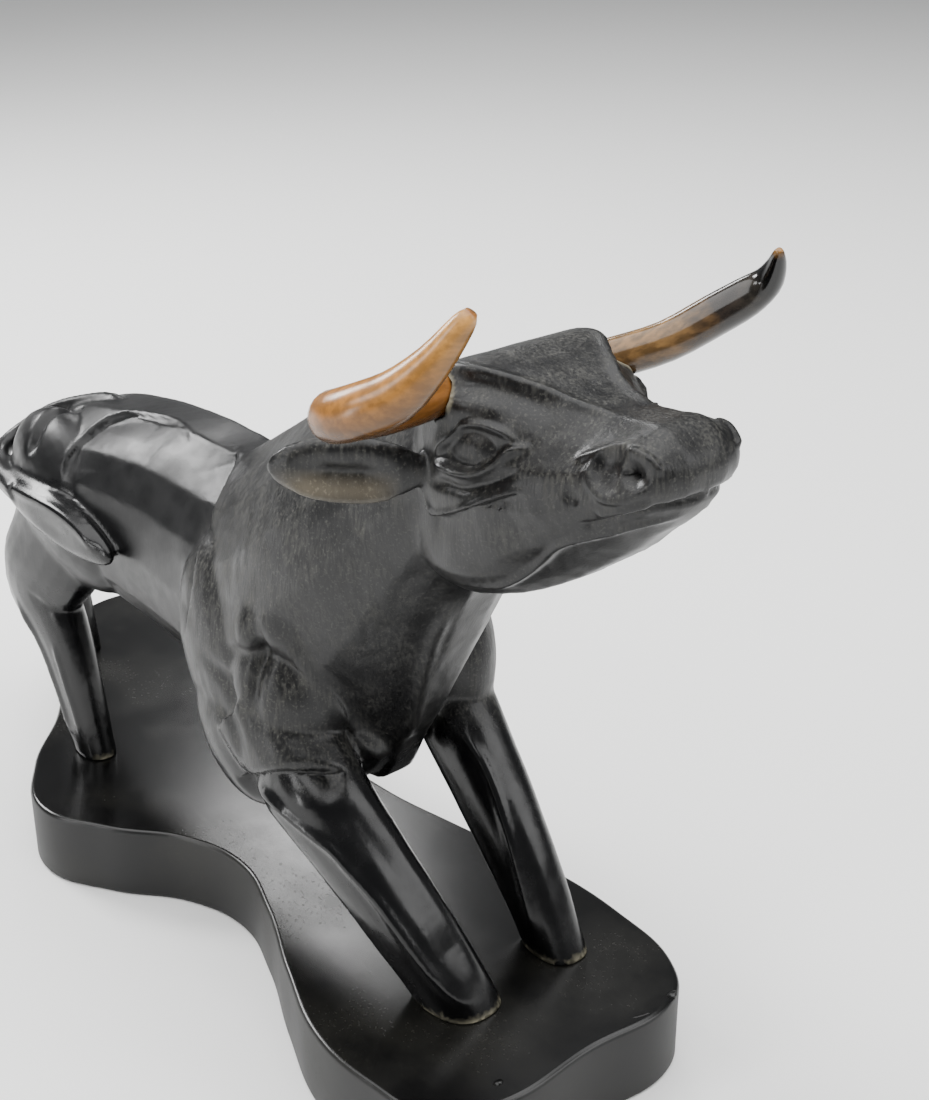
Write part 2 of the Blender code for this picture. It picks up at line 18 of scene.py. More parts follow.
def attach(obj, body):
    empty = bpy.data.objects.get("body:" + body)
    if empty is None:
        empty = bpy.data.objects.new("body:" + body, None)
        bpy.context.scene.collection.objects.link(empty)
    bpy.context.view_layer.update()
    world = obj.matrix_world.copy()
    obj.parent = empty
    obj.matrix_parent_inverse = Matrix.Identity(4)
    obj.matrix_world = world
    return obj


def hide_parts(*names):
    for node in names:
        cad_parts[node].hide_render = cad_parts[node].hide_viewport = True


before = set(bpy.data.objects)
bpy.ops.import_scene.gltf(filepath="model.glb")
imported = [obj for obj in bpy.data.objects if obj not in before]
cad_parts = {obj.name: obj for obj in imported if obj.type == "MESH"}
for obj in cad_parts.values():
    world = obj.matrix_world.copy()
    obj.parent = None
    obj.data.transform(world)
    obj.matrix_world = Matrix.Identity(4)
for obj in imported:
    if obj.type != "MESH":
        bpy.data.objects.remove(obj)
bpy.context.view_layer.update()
print("solids:", ", ".join(sorted(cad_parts)))

# %% [markdown]
# ## Sizes
#
# The bull was drawn in a carver's unit, which is about one millimetre, measured from the soles of its
# feet. Its plinth is one slab, and a film of glue joins the two. Everything below is placed with these
# few values, so the fine surface lands exactly on the plain solid that it stands for.

# %% Sizes
MM = 0.001
PLINTH_LENGTH = 251 * MM
PLINTH_WIDTH = 99 * MM
PLINTH_THICKNESS = 20 * MM
PLINTH_EDGE_RADIUS = 1.2 * MM
BULL_HEIGHT = 152 * MM
GLUE_GAP = 0.3 * MM
UNIT = BULL_HEIGHT / 152
SOLE = PLINTH_THICKNESS + GLUE_GAP


def place(point):
    """A point in the carver's units (about 1 mm, Z from the soles) as a world position."""
    return Vector((point[0] * UNIT, point[1] * UNIT, SOLE + point[2] * UNIT))


print("one carver's unit is", round(UNIT / MM, 3), "mm, and the soles are at", round(SOLE / MM, 1), "mm")

# %% [markdown]
# ## Camera
#
# The sculpture was seen from its front right corner and a little above, from about half a metre. So
# near a view makes the head loom and the hindquarters shrink, which a longer lens would not do. The
# camera is set from a direction and a pitch rather than by eye, so that it can be checked.

# %% Camera
FRAME_HEIGHT_PX = 1100
FOCAL_PX = 1700
SENSOR = 36
NEAREST = 0.01
TURN = math.radians(50)
PITCH = math.radians(25)
EYE = Vector((0.323, -0.198, 0.246 + PLINTH_THICKNESS))


def new_object(name, data):
    """An object for this data, linked into the scene."""
    made = bpy.data.objects.new(name, data)
    bpy.context.scene.collection.objects.link(made)
    return made


def photographers_camera():
    """A camera at EYE, turned by TURN and dipped by PITCH, with the lens that fits the frame."""
    ahead = Vector((-math.sin(TURN) * math.cos(PITCH), math.cos(TURN) * math.cos(PITCH), -math.sin(PITCH)))
    right = Vector((math.cos(TURN), math.sin(TURN), 0))
    above = right.cross(ahead)
    data = bpy.data.cameras.new("camera")
    data.sensor_width = SENSOR
    data.lens = SENSOR * FOCAL_PX / FRAME_HEIGHT_PX
    data.clip_start = NEAREST
    made = new_object("camera", data)
    made.matrix_world = Matrix.Translation(EYE) @ Matrix((right, above, -ahead)).transposed().to_4x4()
    bpy.context.scene.camera = made
    return made


camera = photographers_camera()
print("lens:", round(camera.data.lens, 1), "mm")

# %% [markdown]
# ## Floor and light
#
# Black wood shows almost nothing of its own colour. What the eye reads is the reflection of what stands
# around it: here a pale floor, a dim pale room and six soft lamps. A broad one overhead lights the floor
# and gives soft shadows, and one on the camera's left models the face. The others are weak and only there
# to be reflected: one behind for the band of light on the back, one for the waxed top of the plinth, one for
# the flats of the fore legs and a thin one for the hind shin.

# %% Floor and light
def linear(code):
    """An sRGB hex colour as linear red, green, blue and alpha."""
    parts = [int(code[i:i + 2], 16) / 255 for i in (1, 3, 5)]
    return (*(c / 12.92 if c <= 0.04045 else ((c + 0.055) / 1.055) ** 2.4 for c in parts), 1.0)


def softbox(name, place_at, aim, size, watts):
    """A soft rectangular lamp at one point, aimed at another; its size is width and height in metres."""
    light = bpy.data.lights.new(name, "AREA")
    light.shape = "RECTANGLE"
    light.size, light.size_y = size
    light.energy = watts
    made = new_object(name, light)
    made.location = place_at
    made.rotation_euler = (Vector(aim) - Vector(place_at)).to_track_quat("-Z", "Y").to_euler()
    return made


def pale_floor():
    """A sheet of matt white paper, wide enough to fill the view."""
    bpy.ops.mesh.primitive_plane_add(size=6)
    floor = bpy.context.object
    floor.name = "floor"
    paper = bpy.data.materials.new("white_paper")
    paper.use_nodes = True
    shader = paper.node_tree.nodes["Principled BSDF"]
    shader.inputs["Base Color"].default_value = linear("#f7f7f6")
    shader.inputs["Roughness"].default_value = 0.9
    floor.data.materials.append(paper)
    return floor


floor = pale_floor()
room = bpy.data.worlds.new("dim_room")
room.use_nodes = True
room.node_tree.nodes["Background"].inputs["Color"].default_value = linear("#f4f6f8")
room.node_tree.nodes["Background"].inputs["Strength"].default_value = 0.25
bpy.context.scene.world = room
MIDDLE = (0.0, 0.0, 0.1)
softbox("ceiling", (0.1, 0.0, 1.2), MIDDLE, (1.7, 1.7), 36)
softbox("left_window", (-0.2, -1.0, 0.75), MIDDLE, (0.35, 0.35), 4)
softbox("back_window", (-0.8, -0.2, 0.65), (-0.03, 0.0, 0.12), (0.3, 0.3), 9)
softbox("far_window", (-0.64, 0.44, 0.6), (0.035, -0.01, 0.02), (0.14, 0.12), 1.1)
softbox("right_window", (0.8, 0.47, 0.5), (0.08, 0.0, 0.03), (0.5, 0.5), 3.4)
softbox("shin_light", (-0.05, -0.95, 0.16), (-0.05, -0.02, 0.04), (0.08, 0.3), 1.8)

# %% [markdown]
# ## The masses of the bull
#
# A carver starts with the big masses: trunk, neck, head, four legs. Each one is a loft, a skin drawn
# through cross-sections, because a body changes its section all along its length. A box or a cylinder with
# a subdivision would not hold the flat brow, the keel of the chest or the planes of the legs. All rows
# are in carver's units.

# %% Smooth rows and skins
def glide(rows, per_gap):
    """Rows of numbers joined by a Catmull-Rom curve."""
    rows = np.array(rows, float)
    ends = np.vstack([2 * rows[0] - rows[1], rows, 2 * rows[-1] - rows[-2]])
    out = []
    for i in range(len(rows) - 1):
        a, b, c, d = ends[i:i + 4]
        for k in range(per_gap):
            t = k / per_gap
            out.append(0.5 * (2 * b + (c - a) * t + (2 * a - 5 * b + 4 * c - d) * t * t
                              + (3 * b - a - 3 * c + d) * t ** 3))
    out.append(rows[-1])
    return np.array(out)


def closed_skin(name, rings):
    """A closed mesh through rings of points, with its two ends capped."""
    mesh = bpy.data.meshes.new(name)
    count = len(rings[0])
    points = [place(p) for ring in rings for p in ring]
    faces = []
    for r in range(len(rings) - 1):
        for i in range(count):
            j = (i + 1) % count
            faces.append((r * count + i, r * count + j, (r + 1) * count + j, (r + 1) * count + i))
    faces.append(tuple(reversed(range(count))))
    faces.append(tuple((len(rings) - 1) * count + i for i in range(count)))
    mesh.from_pydata(points, [], faces)
    bm = bmesh.new()
    bm.from_mesh(mesh)
    bmesh.ops.recalc_face_normals(bm, faces=bm.faces)
    bm.to_mesh(mesh)
    bm.free()
    return new_object(name, mesh)


LEVELS = np.array([0, 0.1, 0.3, 0.5, 0.7, 0.88, 1.0])
RING_STOPS = 15
THINNEST = 0.06


def upright_loft(name, rows, per_gap=5):
    """Rings that stand across the midline: top x z, bottom x z, then half widths at LEVELS from below."""
    rings = []
    fine = np.linspace(0, 1, RING_STOPS)
    for row in glide(rows, per_gap):
        top, bottom, widths = row[:2], row[2:4], row[4:]
        half = np.interp(fine, LEVELS, widths)
        line = [bottom + (top - bottom) * t for t in fine]
        ring = [(p[0], -w, p[1]) for p, w in zip(line, half)]
        ring += [(p[0], w, p[1]) for p, w in zip(reversed(line), reversed(half))]
        rings.append(ring)
    return closed_skin(name, rings)


def barrel(width, low=2.0, high=2.0):
    """Half widths at LEVELS of a rounded section, squarer with a larger power."""
    out = []
    for t in LEVELS:
        h = abs(2 * t - 1)
        power = low if t < 0.5 else high
        out.append(width * max(THINNEST, 1 - h ** power) ** (1 / power))
    return out


def strut(name, rows, section, per_gap=6):
    """A limb: rows of centre x y z, half width across, half depth fore and aft, swept with a section."""
    rows = glide(rows, per_gap)
    rings = []
    for i, row in enumerate(rows):
        centre = Vector(row[:3])
        along = Vector(rows[min(i + 1, len(rows) - 1)][:3]) - Vector(rows[max(i - 1, 0)][:3])
        along.normalize()
        across = Vector((0, 1, 0)) - along * along.y
        across.normalize()
        fore = across.cross(along)
        if fore.x < 0:
            fore.negate()
        rings.append([centre + across * (u * row[3]) + fore * (v * row[4]) for u, v in section])
    return closed_skin(name, rings)


def round_section(count, power):
    """Points round a limb's section, from a circle (power 2) towards a rounded square."""
    out = []
    for i in range(count):
        a = math.tau * i / count
        c, s = math.cos(a), math.sin(a)
        out.append((math.copysign(abs(c) ** (2 / power), c), math.copysign(abs(s) ** (2 / power), s)))
    return out


def blob(name, centre, radii, turn=(0, 0, 0)):
    """An ellipsoid muscle; turn is in degrees about X, Y and Z."""
    bpy.ops.mesh.primitive_uv_sphere_add(segments=32, ring_count=20, radius=1)
    made = bpy.context.object
    made.name = name
    about_x, about_y, about_z = (Matrix.Rotation(math.radians(a), 4, axis) for a, axis in zip(turn, "XYZ"))
    spin = about_z @ about_y @ about_x
    made.matrix_world = Matrix.Translation(place(centre)) @ spin \
        @ Matrix.Diagonal((*(r * UNIT for r in radii), 1))
    made.data.transform(made.matrix_world)
    made.matrix_world = Matrix()
    return made


# %% Trunk, neck and head
def trunk():
    """From the croup to the withers; each row is top, bottom, half width and two roundness powers."""
    rows = []
    for top, bottom, width, low, high in (
            ((-76, 79), (-80, 66), 9, 2, 2), ((-73, 86), (-77, 56), 16, 2, 2),
            ((-64, 92), (-67, 51), 22, 2, 2.2), ((-50, 96), (-52, 46), 24, 2, 2.3),
            ((-30, 99.5), (-32, 43.5), 23.5, 2, 2.2), ((-10, 101.5), (-12, 41.5), 22.5, 2, 2.1),
            ((10, 102), (8, 40.5), 23.5, 2, 2), ((28, 107), (30, 39.5), 26, 2, 2),
            ((42, 115), (46, 40), 26, 2, 2), ((50, 119), (56, 44), 22, 2, 2)):
        rows.append([*top, *bottom, *barrel(width, low, high)])
    return upright_loft("trunk", rows)


def neck():
    """From the chest up to the back of the head, with a keel below."""
    rows = []
    for top, bottom, width, low, high in (
            ((8, 97), (38, 46), 22, 2, 2), ((22, 106), (52, 38), 29, 1.5, 2),
            ((38, 116), (63, 38), 31, 1.3, 2), ((52, 125.5), (70, 50), 30, 1.3, 2),
            ((66, 133), (78, 64), 27.5, 1.4, 2), ((80, 139.5), (86, 80), 23.5, 1.6, 2),
            ((92, 144.5), (93, 94), 21, 1.8, 2), ((100, 146), (99, 101), 20, 2, 2),
            ((107, 146), (105, 106), 17.5, 2, 2)):
        rows.append([*top, *bottom, *barrel(width, low, high)])
    return upright_loft("neck", rows)


def head():
    """Broad jaws and forehead, a flat brow, and a muzzle that rises to the lips."""
    rows = [
        [93, 144, 88, 108, 5, 11, 15, 16, 16, 15, 10],
        [98, 147.5, 93, 103, 9, 16, 19, 19.4, 19.3, 19, 15],
        [104, 149.5, 100, 102.5, 12, 18.4, 20.6, 21.2, 20.8, 19.5, 16],
        [110, 149, 107, 103.5, 12, 18.5, 20.5, 22, 21.5, 19, 14.5],
        [117, 147.5, 114, 105, 8, 15, 19, 21.5, 20.5, 16.5, 10.5],
        [124, 145.5, 121, 108.5, 4, 9.5, 16, 19, 18, 12.5, 7],
        [131, 145, 128, 113.5, 3, 7, 14, 16.5, 15.5, 10.5, 5],
        [138, 145.5, 136, 119.5, 3, 6.5, 12, 14.5, 13.5, 10, 4.5],
        [143, 146, 141, 124.5, 3, 6, 11.5, 13.5, 13.5, 10.5, 5],
        [146.5, 144.6, 145.2, 128, 2.5, 5, 9.4, 12, 12, 9.9, 5],
        [149, 142, 148.2, 131.5, 2, 4, 7, 9, 9, 7.4, 3.8],
        [150.2, 139.2, 149.8, 134.8, 1, 2, 3.4, 4.4, 4.4, 3.4, 1.5],
    ]
    return upright_loft("head", rows)


# %% Legs and muscles
def front_legs():
    """Both fore legs reach forward; they run on below the soles and are cut off level later."""
    ring = round_section(24, 2.5)
    near = strut("near_fore_leg", [(46, -23, 58, 11, 13), (60, -22.5, 46, 10.3, 12),
                                   (74, -19.5, 32.5, 9, 10.6), (86, -15.2, 18, 8.4, 9.6),
                                   (93.6, -10.8, 5, 7.8, 8.8), (96.8, -8.6, -2, 7.6, 8.4),
                                   (99.5, -7.2, -8, 7.5, 8.2)], ring)
    far = strut("far_fore_leg", [(48, 19, 60, 9, 11), (62, 18.5, 47, 8.8, 10.4),
                                 (78, 18.5, 28, 7.7, 9.2), (88.5, 19, 13, 6.8, 8),
                                 (96, 19.4, 0, 6.2, 7), (99.5, 19.4, -7, 6, 6.8)], ring)
    return [near, far]


def hind_legs():
    """The near hind leg is drawn in under the body, and the far one stretches back."""
    ring = round_section(20, 2.3)
    near = strut("near_hind_leg", [(-50, -15, 72, 10, 20), (-60, -18, 56, 8.5, 17),
                                   (-67, -20, 44.5, 7.5, 14.5), (-58.5, -19.5, 33, 6.4, 9.8),
                                   (-53, -19.2, 20, 5.6, 8.4), (-49.3, -19, 7, 5.2, 7.2),
                                   (-47, -19, 0, 5, 6.6), (-45, -19, -7, 5, 6.6)], ring)
    far = strut("far_hind_leg", [(-64, 12, 72, 9, 17), (-82, 11, 58, 8, 13), (-99, 8, 45, 7, 10.5),
                                 (-107, 7.5, 34, 5.6, 8.5), (-106.5, 7.5, 20, 4.8, 6.8),
                                 (-104, 7.5, 8, 4.6, 6.2), (-103, 7.5, 0, 4.8, 6.2),
                                 (-102, 7.5, -7, 4.8, 6.2)], ring)
    return [near, far]


def muscles():
    """Haunches, shoulders, chest and ears, as ellipsoids that sink into the lofts."""
    return [
        blob("near_haunch", (-51, -14, 71.5), (29, 13, 21), (0, 24, 0)),
        blob("far_haunch", (-66, 11, 66), (23, 12, 19), (0, 30, 0)),
        blob("near_shoulder", (36, -19, 66), (22, 13, 28), (0, -20, 0)),
        blob("near_elbow", (39.5, -23, 48.5), (14, 9.5, 19), (0, -38, 0)),
        blob("near_chest", (52, -19.5, 64), (14, 13, 17), (0, -15, 0)),
        blob("brisket", (57.5, -7, 50.5), (9.5, 12, 11.5), (0, -20, 0)),
        blob("far_shoulder", (49, 19.2, 63), (21, 13, 26), (0, -25, 0)),
        blob("near_ear", (91, -31, 129), (15, 3.4, 6.6), (0, 0, 46)),
        blob("far_ear", (91, 31, 129), (15, 3.4, 6.6), (0, 0, -46)),
    ]


# %% [markdown]
# ## Bars: the tail and the horns
#
# The tail and the horns are round and taper. A curve with a bevel is the natural tool: a few points, each
# with its own radius, and the round section follows by itself. The tuft of the tail is a long blob.

# %% Bars
def tube(name, points, extra=0.0):
    """A tapered round bar through rows of x y z and radius, made wider by extra."""
    curve = bpy.data.curves.new(name, "CURVE")
    curve.dimensions = "3D"
    curve.bevel_depth = 1
    curve.bevel_resolution = 3
    curve.use_fill_caps = True
    curve.resolution_u = 8
    spline = curve.splines.new("POLY")
    rows = glide(points, 3)
    spline.points.add(len(rows) - 1)
    for target, row in zip(spline.points, rows):
        target.co = (*place(row[:3]), 1)
        target.radius = row[3] * UNIT + extra
    return new_object(name, curve)


def as_mesh(source):
    """The evaluated object as a plain mesh object of the same name, with its caps welded."""
    graph = bpy.context.evaluated_depsgraph_get()
    mesh = bpy.data.meshes.new_from_object(source.evaluated_get(graph))
    bm = bmesh.new()
    bm.from_mesh(mesh)
    bmesh.ops.remove_doubles(bm, verts=bm.verts, dist=WELD)
    bmesh.ops.recalc_face_normals(bm, faces=bm.faces)
    bm.to_mesh(mesh)
    bm.free()
    name = source.name
    made = new_object(name, mesh)
    made.matrix_world = source.matrix_world
    bpy.data.objects.remove(source, do_unlink=True)
    made.name = name
    return made


def tail():
    """A band that runs down the croup and swings to the near side, and the tuft that lies on the haunch."""
    band = as_mesh(tube("tail_band", [(-46, 0, 93, 2.2), (-55, 0, 94.2, 2.3), (-66, -2, 91.5, 2.2),
                                      (-77, -6.5, 87, 2.2), (-84.5, -13, 80.5, 2.3), (-82.5, -20, 77, 2.8),
                                      (-72, -25, 75.5, 3.6), (-58, -26.5, 75, 4)]))
    tuft = blob("tail_tuft", (-43, -25.5, 73), (29, 4.5, 7), (0, 4, 0))
    return [band, tuft]


def right_horn():
    """Rows of x y z and radius, from the root in the head to the tip."""
    return [(99, -16, 143.2, 4.3), (102, -21, 143.6, 4.4), (104.5, -33, 144.6, 4.6),
            (108.5, -46, 147.6, 4.6), (115.5, -46.5, 150.6, 4.8), (121.5, -43, 154.2, 4.5),
            (126.5, -39.5, 160.3, 3.3), (129.8, -36.2, 166.6, 2.2), (130.8, -35.3, 168.6, 1.2)]


def left_horn():
    """Rows as for the right horn."""
    return [(107, 12, 143.3, 4.1), (110, 17, 144.6, 4.1), (114.5, 26, 147, 4.1), (117, 36, 150.6, 4.2),
            (119.5, 42, 153.6, 4.0), (122.5, 44, 156.8, 3.2), (125, 43.2, 160.5, 2.2),
            (126.6, 41.8, 163.4, 1.3), (127.1, 41.3, 164.4, 0.7)]


# %% [markdown]
# ## One block of wood
#
# The bull is carved from one block, so its masses have to flow into each other with no seams. A voxel
# remesh does that: it wraps all the pieces in one even skin, fine enough here to carve an eyelid in, and a
# short smoothing takes off the voxel steps, as sandpaper would. A real surface also loses a little to sanding
# and polishing. POLISH is that loss, and it keeps the finished surface inside the plain solid.

# %% Fuse the masses
VOXEL = 0.72 * MM
POLISH = 0.15 * MM
WELD = 0.02 * MM
BULL_TRIANGLES = 185000


def fuse(name, pieces):
    """All pieces joined into one watertight skin of even faces."""
    base = pieces[0]
    bpy.ops.object.select_all(action="DESELECT")
    for piece in pieces:
        piece.select_set(True)
    bpy.context.view_layer.objects.active = base
    bpy.ops.object.join()
    base.name = name
    remesh = base.modifiers.new("fuse", "REMESH")
    remesh.mode = "VOXEL"
    remesh.voxel_size = VOXEL
    relax = base.modifiers.new("polish", "SMOOTH")
    relax.factor = 0.5
    relax.iterations = 4
    return as_mesh(base)


def lighten(body, triangles):
    """Fewer triangles, kept where the form turns."""
    faces = sum(len(p.vertices) - 2 for p in body.data.polygons)
    thin = body.modifiers.new("lighten", "DECIMATE")
    thin.ratio = min(1, triangles / faces)
    return as_mesh(body)


def finer(body, spots):
    """Twice as many points near each spot, a centre and a radius in carver's units, for the smallest cuts."""
    bm = bmesh.new()
    bm.from_mesh(body.data)
    picked = [e for e in bm.edges
              if any((e.verts[0].co - place(centre)).length < radius * UNIT for centre, radius in spots)]
    bmesh.ops.subdivide_edges(bm, edges=picked, cuts=1, use_grid_fill=True, smooth=0)
    bm.to_mesh(body.data)
    bm.free()


# %% [markdown]
# ## Carving
#
# The eye, the mouth and the folds are cuts and ridges in that skin. Each mark is a line through a few
# stops, laid on the surface, and the points near it move along their own normals: inward for a groove,
# outward for a ridge, and on one side only for a step. This is how a gouge works too, and unlike a
# bump map it changes the outline and catches real shadows.

# %% Carving tools
# A groove has the section of a bell, which is as good as flat beyond this many widths.
BELL_REACH = 2.5


def rows_of(mesh, what):
    """The positions ("co") or normals ("normal") of a mesh's points, one row each."""
    flat = np.empty(len(mesh.vertices) * 3)
    mesh.vertices.foreach_get(what, flat)
    return flat.reshape(-1, 3)


class Skin:
    """The points of a fused body in the carver's units, worked by moving them along their normals."""

    def __init__(self, body):
        self.mesh = body.data
        self.points = (rows_of(self.mesh, "co") - (0, 0, SOLE)) / UNIT
        self.normals = rows_of(self.mesh, "normal")

    def lay(self, stops, per_gap=6):
        """A smooth line through the stops, laid on the skin."""
        line = glide(stops, per_gap)
        line = np.array([self.points[np.argmin(((self.points - p) ** 2).sum(1))] for p in line])
        for _ in range(4):
            line[1:-1] = (line[:-2] + 2 * line[1:-1] + line[2:]) / 4
        return line

    def around(self, line, reach):
        """Points near the line: their indices, distances, sides (left is +1) and shares of its length."""
        low, high = line.min(0) - reach, line.max(0) + reach
        near = np.nonzero(((self.points > low) & (self.points < high)).all(1))[0]
        best = np.full(len(near), np.inf)
        side = np.zeros(len(near))
        share = np.zeros(len(near))
        p, n = self.points[near], self.normals[near]
        steps = np.linalg.norm(np.diff(line, axis=0), axis=1)
        total = steps.sum()
        run = 0.0
        for a, b, length in zip(line[:-1], line[1:], steps):
            if length < 1e-9:
                continue
            t = np.clip((p - a) @ (b - a) / length ** 2, 0, 1)
            off = p - (a + t[:, None] * (b - a))
            d = np.linalg.norm(off, axis=1)
            closer = d < best
            best[closer] = d[closer]
            left = (np.cross(n[closer], (b - a) / length) * off[closer]).sum(1)
            side[closer] = np.sign(left)
            share[closer] = (run + t[closer] * length) / total
            run += length
        keep = best < reach
        return near[keep], best[keep], side[keep], share[keep]

    def press(self, near, depth):
        """Moves these points inward along their normals, or outward where the depth is negative."""
        self.points[near] -= self.normals[near] * depth[:, None]

    def groove(self, stops, width, depth, fade=0.15):
        """A round-bottomed cut along a line; a negative depth raises a ridge."""
        near, d, _, share = self.around(self.lay(stops), width * BELL_REACH)
        ends = np.clip(np.minimum(share, 1 - share) / fade, 0, 1) if fade else 1
        self.press(near, depth * np.exp(-(d / width) ** 2) * ends)

    def step(self, stops, side, depth, reach, edge=0.8, fade=0.12):
        """The skin on one side of a line cut back, sharply at the line and dying out over the reach."""
        near, d, where, share = self.around(self.lay(stops), reach)
        ends = np.clip(np.minimum(share, 1 - share) / fade, 0, 1)
        rise = np.clip(d / edge, 0, 1)
        fall = 1 - np.clip((d - edge) / (reach - edge), 0, 1)
        self.press(near, np.where(where * side > 0, depth * rise * fall ** 1.5, 0) * ends)

    def dimple(self, centre, radius, depth):
        """A round hollow, or a swelling where the depth is negative; radius is one number or three."""
        away = np.linalg.norm((self.points - centre) / radius, axis=1)
        near = np.nonzero(away < 1)[0]
        self.press(near, depth * (1 - away[near] ** 2) ** 2)

    def keep(self):
        """Writes the worked points back to the mesh."""
        flat = (self.points * UNIT + (0, 0, SOLE)).ravel()
        self.mesh.vertices.foreach_set("co", flat)
        self.mesh.update()


def both(stops):
    """The stops on the near side and mirrored on the far side, each with its sense of left and right."""
    stops = np.array(stops, float)
    return ((stops, 1), (stops * (1, -1, 1), -1))


def groove_both(skin, stops, width, depth, fade=0.15):
    """The same groove on the near and the far side."""
    for line, _ in both(stops):
        skin.groove(line, width, depth, fade)


# %% Carve the head
def carve_brow(skin):
    """The edge of the flat forehead, the hollow beside it and the heavy brow over the eye."""
    groove_both(skin, [(103, -17, 149.2), (108.3, -15, 149), (116, -10.6, 147.8), (121.5, -7.2, 146.3),
                       (127, -5.6, 145.2), (133, -4, 145)], 1.1, -0.7)
    groove_both(skin, [(104, -20, 146.5), (110.5, -17.4, 147.2), (117, -13, 146.2),
                       (124, -9.6, 144.4)], 2.2, 0.7)
    groove_both(skin, [(101, -21, 140.5), (106, -20.5, 143.6), (112, -18.5, 144.8),
                       (118, -14.8, 143.6)], 2.4, -1.0, 0.3)


def carve_eye(skin):
    """An almond eye between raised lids."""
    for y in (-21, 21):
        skin.dimple((112.6, y, 136.6), (9.5, 9, 5.4), 2.0)
        skin.dimple((112.4, y, 136.6), (6.2, 6, 3.6), -2.6)
    groove_both(skin, [(103.5, -21.8, 132.6), (106.3, -21.8, 136.2), (109.8, -20.8, 139.6),
                       (113.5, -19, 140.8), (117.4, -17.2, 140.4), (120.6, -16.2, 139)], 0.75, -1.2)
    groove_both(skin, [(102.8, -21.8, 132), (107, -22.3, 132.2), (111.5, -22.2, 132.5), (115, -21.3, 133.6),
                       (118, -19.5, 135.6), (120, -17.6, 137.8), (123, -15.4, 139)], 0.85, -1.7)


def carve_cheek(skin):
    """Wrinkles under the eye, and the raised cheek that ends in a sharp step."""
    groove_both(skin, [(102.5, -21.5, 127.5), (107, -22, 128.6), (112, -22, 129.2), (118, -20.7, 132),
                       (123, -18, 135.4)], 1.0, 0.9)
    for line, sense in both([(99.8, -21.8, 125.2), (100.8, -21.3, 122.2), (103.2, -21.3, 121.2),
                             (106.5, -21.6, 122.4), (110, -22, 124.3), (113.6, -21.9, 126.2),
                             (118.7, -20.8, 129.2), (124, -18.5, 132)]):
        skin.step(line, -sense, 2.0, 12, 0.8, 0.18)
        skin.groove(line, 0.8, -0.7)


def carve_muzzle(skin):
    """A wide nostril with a raised rim, the lips and the dent beside them."""
    for y in (-13, 13):
        skin.dimple((140.4, y, 139), (7.4, 6, 5), 1.6)
        skin.dimple((144.2, y * 0.95, 139.4), (3.8, 5, 3), 2.8)
    groove_both(skin, [(139.5, -11.6, 142.8), (136.4, -12.2, 141.2), (135.2, -13.4, 138.4),
                       (136.6, -14, 135.6), (140.2, -14, 134.2), (144.2, -13.4, 135.2),
                       (147, -12, 137.4)], 1.1, -0.8, 0.3)
    groove_both(skin, [(140.5, -11.4, 143.2), (144.2, -11, 143.6), (147.2, -10.2, 142.2),
                       (148.2, -9.6, 139.8)], 0.9, -0.8)
    groove_both(skin, [(131, -13.8, 139), (135.5, -12, 142.6), (141.5, -9.2, 145)], 0.9, -0.6)
    groove_both(skin, [(134, -14, 126.2), (138, -13, 127.6), (142, -12, 129.8), (145, -10.5, 132),
                       (148, -6.5, 133.8), (149.6, 0, 134.8)], 0.8, 1.0, 0.05)
    groove_both(skin, [(137, -13.4, 130), (142, -12.4, 132.2), (146.5, -9.4, 135)], 1.2, -0.8)
    for y in (-15.5, 15.5):
        skin.dimple((133, y, 132.6), (2.4, 4, 2.2), 0.7)


def carve_jaw_and_ears(skin):
    """The edge of the lower jaw, and in each ear a long hollow with a raised lower rim."""
    groove_both(skin, [(108, -19, 103.4), (114, -16.8, 105.4), (119, -14.5, 109), (124, -13, 115),
                       (129, -14, 120.6), (136, -12, 123.6), (143.5, -8.5, 127.6),
                       (148, -2, 131.4)], 0.9, -0.8)
    groove_both(skin, [(100.5, -25.5, 128.8), (97, -29.5, 128.4), (93.4, -33.4, 128.2), (89, -37.2, 128.6),
                       (85, -40.5, 129.4)], 3.3, 2.9, 0.35)
    groove_both(skin, [(100, -24.8, 124.6), (96, -29, 123.2), (92.5, -32.7, 123), (88, -36.8, 124),
                       (84, -40, 126.6)], 0.9, -0.8)


def carve_head(skin):
    """Everything is cut the same on both sides."""
    carve_brow(skin)
    carve_eye(skin)
    carve_cheek(skin)
    carve_muzzle(skin)
    carve_jaw_and_ears(skin)


